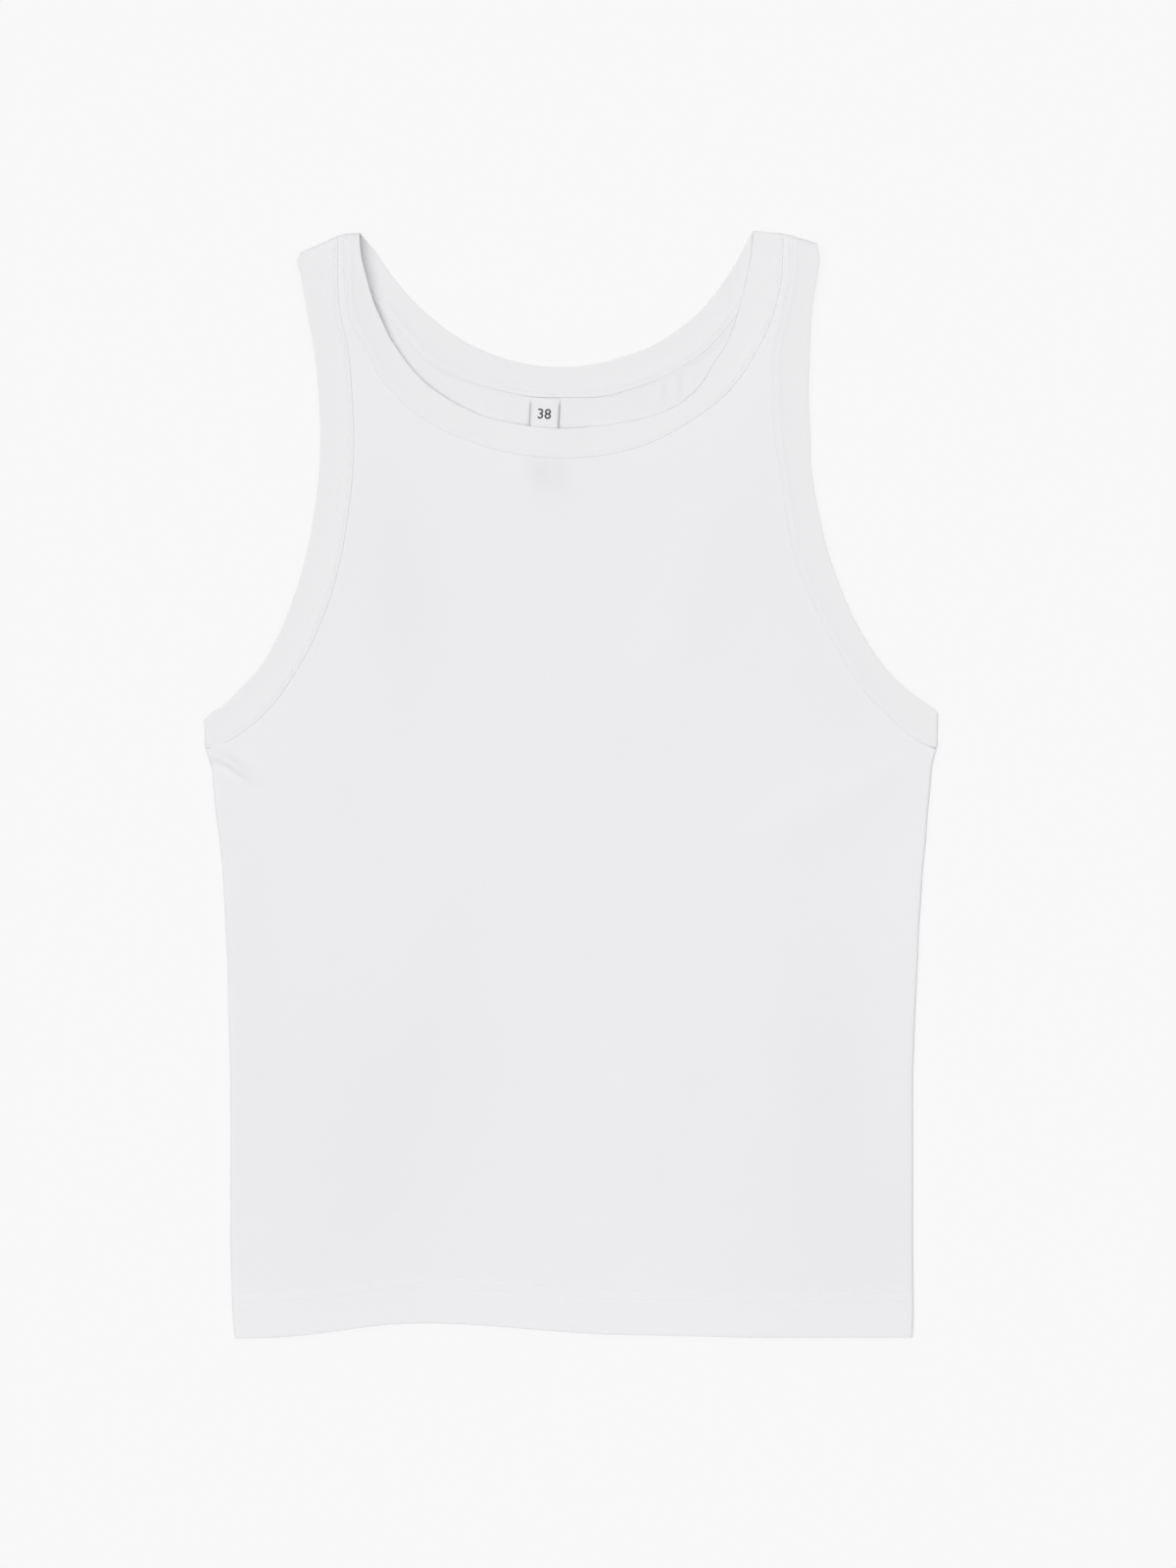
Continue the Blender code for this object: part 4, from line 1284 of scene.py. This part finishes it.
# %% Sockets as numbers
class Value:
    """One output socket of a finish. Sums with Values or numbers add their Math nodes."""

    def __init__(self, finish, socket):
        self.finish = finish
        self.socket = socket

    def math(self, operation, *others):
        inputs = dict(enumerate((self, *others)))
        return self.finish.node("ShaderNodeMath", {"operation": operation}, inputs)

    def __add__(self, other):
        return self.math("ADD", other)

    def __sub__(self, other):
        return self.math("SUBTRACT", other)

    def __rsub__(self, other):
        return self.finish.node("ShaderNodeMath", {"operation": "SUBTRACT"}, {0: other, 1: self})

    def __mul__(self, other):
        return self.math("MULTIPLY", other)

    def __truediv__(self, other):
        return self.math("DIVIDE", other)

    def __rtruediv__(self, other):
        return self.finish.node("ShaderNodeMath", {"operation": "DIVIDE"}, {0: other, 1: self})

    def output(self, name):
        """Another output of the same node."""
        return Value(self.finish, self.socket.node.outputs[name])

    __radd__ = __add__
    __rmul__ = __mul__


print("reflected forms:", sorted(name for name in vars(Value) if name.startswith("__r")))


# %% A finish
class Finish:
    """A material with one Principled shader, and a method that adds any other node."""

    def __init__(self, name, **constants):
        self.material = bpy.data.materials.new(name)
        self.material.use_nodes = True
        self.tree = self.material.node_tree
        self.shader = self.tree.nodes["Principled BSDF"]
        for socket, value in constants.items():
            self.shader.inputs[socket.replace("_", " ")].default_value = value

    def node(self, kind, settings=None, inputs=None):
        """Adds a node: its settings first, then the values or links of its sockets."""
        added = self.tree.nodes.new(kind)
        for name, value in (settings or {}).items():
            setattr(added, name, value)
        for name, value in (inputs or {}).items():
            self.link(added.inputs[name], value)
        return Value(self, added.outputs[0])

    def link(self, socket, value):
        """Feeds a socket with a Value's link or sets it to a number or colour."""
        if isinstance(value, Value):
            self.tree.links.new(value.socket, socket)
        else:
            socket.default_value = value

    def surface(self, **inputs):
        """Feeds the Principled shader."""
        for name, value in inputs.items():
            self.link(self.shader.inputs[name.replace("_", " ")], value)

    def coordinates(self, kind="Object"):
        """Object or UV coordinates: the whole, then x and y."""
        whole = self.node("ShaderNodeTexCoord").output(kind)
        parts = self.node("ShaderNodeSeparateXYZ", {}, {"Vector": whole})
        return whole, parts.output("X"), parts.output("Y")

    def noise(self, place, scale, detail=2.0):
        """Noise from 0 to 1; scale is in bumps a metre."""
        inputs = {"Vector": place, "Scale": scale, "Detail": detail, "Roughness": 0.55}
        return self.node("ShaderNodeTexNoise", {}, inputs)

    def bump(self, height, strength, distance):
        """A normal tilted by the slope of a height from 0 to 1, which stands for a distance."""
        inputs = {"Strength": strength, "Distance": distance, "Height": height}
        return self.node("ShaderNodeBump", {}, inputs)


print("a finish adds its nodes as sums are written")

# %% [markdown]
# ### Jersey
#
# Fine jersey shows columns of small V's, the wales, and rows, the courses. Here
# the height of the yarn is a wave along each column that leans one way on its left
# half and the other way on its right, which makes the V, and a rounded profile
# across the column is added. At arm's length this only softens the light, so it is
# a small bump. Yarn is never quite even: a soft noise changes its whiteness and
# roughness.
#
# A panel's wales run straight up the body, so its knit reads the piece's own x and
# y. A binding is cut across and bent round a curve, so its knit reads the cloth map.

# %% The knit
WALE = 0.8 * MM
COURSE = 0.62 * MM
V_LEAN = 0.45
WALE_ROUNDING = 0.8
COURSE_SHARE = 0.55

# Noise, in bumps a metre: clouds over the whole piece, slubs in the yarn, fuzz on it
CLOUDS = 14.0
SLUBS = 900.0
FUZZ = 2600.0

# What each adds to the bump's height
KNIT_PART = 0.7
SLUB_PART = 0.3
FUZZ_PART = 0.25

# Whiteness: its base, and what clouds, slubs and doubled cloth add
WHITENESS = 0.984
CLOUD_CHANGE = 0.012
SLUB_CHANGE = 0.02
DOUBLED_CHANGE = 0.011
BINDING_CHANGE = 0.004


def wave(phase, shape="SINE"):
    """A sine or cosine of an angle, brought to run from 0 to 1."""
    return phase.math(shape) * 0.5 + 0.5


def spread(pattern, least, more):
    """least where the pattern is 0, and least + more where it is 1."""
    return pattern * more + least


def knit_height(across, up):
    """A cosine of the course, leaned along each half of the wale, and a rounded wale, added."""
    half = ((across / WALE).math("FRACT") - 0.5).math("ABSOLUTE") * 2.0
    lean = up / COURSE + half * V_LEAN
    course = wave(lean * (2 * math.pi), "COSINE")
    profile = 1.0 - (half * (2 * WALE_ROUNDING) - WALE_ROUNDING).math("ABSOLUTE")
    return course * COURSE_SHARE + profile * (1 - COURSE_SHARE)


def yarn_white(finish, body, white, change):
    """A colour whose parts follow one whiteness: a base, a cloudy noise and the change."""
    whiteness = finish.noise(body, CLOUDS) * CLOUD_CHANGE + change + WHITENESS
    parts = {part: whiteness * value for part, value in enumerate(white)}
    return finish.node("ShaderNodeCombineColor", {}, parts)


def mark(finish, name):
    """The number that each point of a piece carries under this name."""
    return finish.node("ShaderNodeAttribute", {"attribute_name": name}).output("Fac")


print("wales and courses to the centimetre:", round(0.01 / WALE, 1), round(0.01 / COURSE, 1))


# %% The jersey of the panels and of the bindings
PANEL_COLOUR = (0.823, 0.823, 0.838)
BINDING_COLOUR = (0.813, 0.813, 0.821)

# Least roughness and what the slubs add; the bump's strength and depth
JERSEY_ROUGHNESS = (0.86, 0.1)
JERSEY_BUMP = (0.35, 0.05 * MM)


def knitted(finish, across, up, white, change):
    """Knit, slubs and fuzz as one bump; whiteness and roughness that follow the yarn."""
    body = finish.node("ShaderNodeTexCoord").output("Object")
    slub = finish.noise(body, SLUBS, 3.0)
    fuzz = finish.noise(body, FUZZ)
    height = knit_height(across, up) * KNIT_PART + slub * SLUB_PART + fuzz * FUZZ_PART
    finish.surface(
        Base_Color=yarn_white(finish, body, white, slub * SLUB_CHANGE + change),
        Roughness=spread(slub, *JERSEY_ROUGHNESS),
        Normal=finish.bump(height, *JERSEY_BUMP),
    )


def jersey(name):
    """A matt finish with the faint sheen of cotton's fibres."""
    return Finish(name, Sheen_Weight=0.08, Sheen_Roughness=0.5, Specular_IOR_Level=0.25)


def panel_jersey():
    """Jersey whose wales run up the body, whiter where it is doubled and greyer where shaded: painted
    shade, and the label's grey patch.
    """
    finish = jersey("white_jersey")
    _, across, up = finish.coordinates()
    # The shaded mark darkens the colour: painted shade, and the label's grey patch
    change = mark(finish, "doubled") * DOUBLED_CHANGE - mark(finish, "shaded")
    knitted(finish, across, up, PANEL_COLOUR, change)
    return finish.material


def binding_jersey():
    """Jersey cut across, whose wales run over the strip's width; it follows the cloth map."""
    finish = jersey("white_binding")
    _, across, up = finish.coordinates("UV")
    knitted(finish, across, up, BINDING_COLOUR, BINDING_CHANGE)
    return finish.material


panel_white, binding_white = panel_jersey(), binding_jersey()
print("nodes in the jersey's finish:", len(panel_white.node_tree.nodes))

# %% [markdown]
# ### Thread, ribbon and dark yarn
#
# Sewing thread is polyester, smoother than the cotton, so it shines a little. The
# label's ribbon is a satin: fine ribs across it and a soft shine. The number is
# woven in dark yarn.

# %% The small finishes
TWIST = 5200.0
THREAD_COLOUR = (0.845, 0.845, 0.855)
THREAD_ROUGHNESS = (0.5, 0.2)
THREAD_BUMP = (0.3, 0.03 * MM)

RIB = 0.42 * MM
LONG_YARN = 0.25 * MM
RIB_SHARE = 0.8
# How much the painted shadow darkens the label's long edges
EDGE_SHADOW_DEPTH = 0.5
RIBBON_COLOUR = (0.80, 0.80, 0.81)
DARK_COLOUR = (0.035, 0.035, 0.04)
RIBBON_ROUGHNESS = (0.45, 0.15)
RIBBON_BUMP = (0.4, 0.04 * MM)


def thread_finish():
    """White thread: a fine bump along the bead stands for its twist."""
    finish = Finish("white_thread", Sheen_Weight=0.05, Specular_IOR_Level=0.4)
    body = finish.node("ShaderNodeTexCoord").output("Object")
    twist = finish.noise(body, TWIST)
    finish.surface(
        Base_Color=yarn_white(finish, body, THREAD_COLOUR, twist * SLUB_CHANGE),
        Roughness=spread(twist, *THREAD_ROUGHNESS),
        Normal=finish.bump(twist, *THREAD_BUMP),
    )
    return finish.material


def ribbon_finish(name, white, rib_change):
    """Satin: ribs across it as a sine of y, long yarns as a sine of x, and a painted shadow along the cut
    edges.
    """
    finish = Finish(name, Sheen_Weight=0.1, Specular_IOR_Level=0.45)
    body, across, up = finish.coordinates()
    rib = wave(up * (2 * math.pi / RIB))
    long_yarn = wave(across * (2 * math.pi / LONG_YARN))
    # The edge mark paints a shadow along the label's long edges
    change = rib * rib_change - mark(finish, "edge_painted_shadow") * EDGE_SHADOW_DEPTH
    finish.surface(
        Base_Color=yarn_white(finish, body, white, change),
        Roughness=spread(rib, *RIBBON_ROUGHNESS),
        Normal=finish.bump(rib * RIB_SHARE + long_yarn * (1 - RIB_SHARE), *RIBBON_BUMP),
    )
    return finish.material


thread, ribbon = thread_finish(), ribbon_finish("white_ribbon", RIBBON_COLOUR, 0.02)
dark_yarn = ribbon_finish("dark_yarn", DARK_COLOUR, 0.2)
print("finishes:", [m.name for m in (panel_white, binding_white, thread, ribbon, dark_yarn)])

# %% [markdown]
# ## Joining the frame
#
# Every piece rides on the garment's one body and stands for its solid, which is hidden.
# For each cloth piece the size of the cut that shows is printed with its area: a
# panel's own outline, and a binding's strip laid open.

# %% What each piece stands for
def dress(piece, material, slot, node=None):
    """Gives a piece its material and its body, hides the solid it stands for, and prints its slot."""
    piece.data.materials.clear()
    piece.data.materials.append(material)
    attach(piece, "root")
    if node:
        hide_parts(node)
    print(piece.name, "is", slot, "and stands for", node or "no solid")


dress(front_cloth, panel_white, "jersey", "front_panel")
dress(back_cloth, panel_white, "jersey", "back_panel")
dress(neck_binding, binding_white, "binding_jersey", "neck_binding")
dress(arm_bindings[0], binding_white, "binding_jersey", "armhole_binding_left")
dress(arm_bindings[1], binding_white, "binding_jersey", "armhole_binding_right")
dress(label, ribbon, "woven_label", "neck_label")
dress(number, dark_yarn, "woven_label")
for row in (front_hem_stitching, back_hem_stitching):
    dress(row, thread, "jersey")
for row in (neck_stitching, *arm_stitching):
    dress(row, thread, "binding_jersey")


# %% The flat cut of each sheet
def cloth_area(piece):
    """Half the area of a closed sheet's faces, which is the area of the cloth."""
    areas = np.zeros(len(piece.data.polygons))
    piece.data.polygons.foreach_get("area", areas)
    return float(areas.sum() / 2)


def lay(piece, flat):
    """Prints a sheet's flat cut and its own area, which is the area of the cloth."""
    area = cloth_area(piece)
    print(piece.name, "is cut from", flat, "m and has", round(area, 4), "square metres")


PANEL_CUT = (0.402, 0.635)
NECK_CUT = (0.036, 0.70)
ARMHOLE_CUT = (0.036, 0.66)
LABEL_CUT = (0.0165, 0.102)
lay(back_cloth, PANEL_CUT)
lay(front_cloth, PANEL_CUT)
lay(neck_binding, NECK_CUT)
for ring, rows in zip(arm_bindings, arm_stitching):
    lay(ring, ARMHOLE_CUT)
lay(label, LABEL_CUT)

# %% [markdown]
# ## Floor, light and camera
#
# White cloth on a white floor shows only by its soft shading, so the light decides
# everything. Most of it comes from a very wide light overhead, as under a white
# ceiling. A weaker and narrower key from the upper left draws the seams and folds, and
# an even surround fills what is left. The floor gives off light of its own, which
# keeps it brighter than the cloth and takes the weight out of the shadow round it.

# %% Floor
FLOOR_HALF = 40.0
FLOOR_LEVEL = -0.02 * MM
FLOOR_GREY = (0.1, 0.1, 0.1)
FLOOR_GLOW = 0.84


def pale_floor():
    """A wide square, a hair under the cloth so that the two never share a plane."""
    steps = np.linspace(-FLOOR_HALF, FLOOR_HALF, 3)
    x, y = np.meshgrid(steps, steps, indexing="ij")
    points = np.stack([x, y, np.full(x.shape, FLOOR_LEVEL)], axis=-1).reshape(-1, 3)
    mesh = bpy.data.meshes.new("floor")
    mesh.from_pydata(points.tolist(), [], grid_faces(x.shape).tolist())
    finish = Finish("pale_floor", Specular_IOR_Level=0.0, Roughness=1.0)
    body = finish.node("ShaderNodeTexCoord").output("Object")
    finish.surface(
        Base_Color=yarn_white(finish, body, FLOOR_GREY, 0.0),
        Emission_Color=(1.0, 1.0, 1.0, 1.0),
        Emission_Strength=FLOOR_GLOW,
    )
    mesh.materials.append(finish.material)
    return in_scene("floor", mesh)


floor = pale_floor()
print("floor:", 2 * FLOOR_HALF, "m wide")

# %% Light
LIGHTS = (
    # name, strength, softness in degrees, direction it comes from
    ("key", 0.66, 45.0, (-0.45, 0.27, 0.87)),
    ("overhead", 1.7, 110.0, (0.0, 0.0, 1.0)),
)
SURROUND = (0.985, 0.985, 1.0, 1.0)
SURROUND_STRENGTH = 0.3
LAMP_DISTANCE = 3.0


def soft_light(name, strength, softness, direction):
    """A sun lamp: even over the whole garment, with a penumbra as wide as its softness."""
    lamp = bpy.data.lights.new(name, "SUN")
    lamp.energy = strength
    lamp.angle = math.radians(softness)
    holder = in_scene(name, lamp)
    aim = unit(np.array(direction))
    holder.location = (aim * LAMP_DISTANCE).tolist()
    holder.rotation_euler = (math.acos(aim[2]), 0.0, math.atan2(aim[1], aim[0]) + math.pi / 2)
    print(name, "light:", round(math.degrees(math.asin(aim[2]))), "degrees high")


for lamp_row in LIGHTS:
    soft_light(*lamp_row)

world = bpy.data.worlds.new("surround")
world.use_nodes = True
background = world.node_tree.nodes["Background"]
background.inputs["Color"].default_value = SURROUND
background.inputs["Strength"].default_value = SURROUND_STRENGTH
bpy.context.scene.world = world
bpy.context.scene.view_settings.view_transform = "Standard"

# %% Camera
# Straight above: high enough that the frame takes in VIEW_HEIGHT at the cloth's top
SENSOR = 36.0
LENS = 100.0
VIEW_HEIGHT = 849.12 * MM
VIEW_CENTRE = (9.02 * MM, 0.13 * MM)
CLOTH_TOP = 3.0 * MM

camera = bpy.data.cameras.new("above")
camera.lens = LENS
camera.sensor_width = SENSOR
camera_holder = in_scene("above", camera)
camera_holder.location = (*VIEW_CENTRE, CLOTH_TOP + VIEW_HEIGHT * LENS / SENSOR)
bpy.context.scene.camera = camera_holder
print("camera height:", round(camera_holder.location.z, 3), "m")
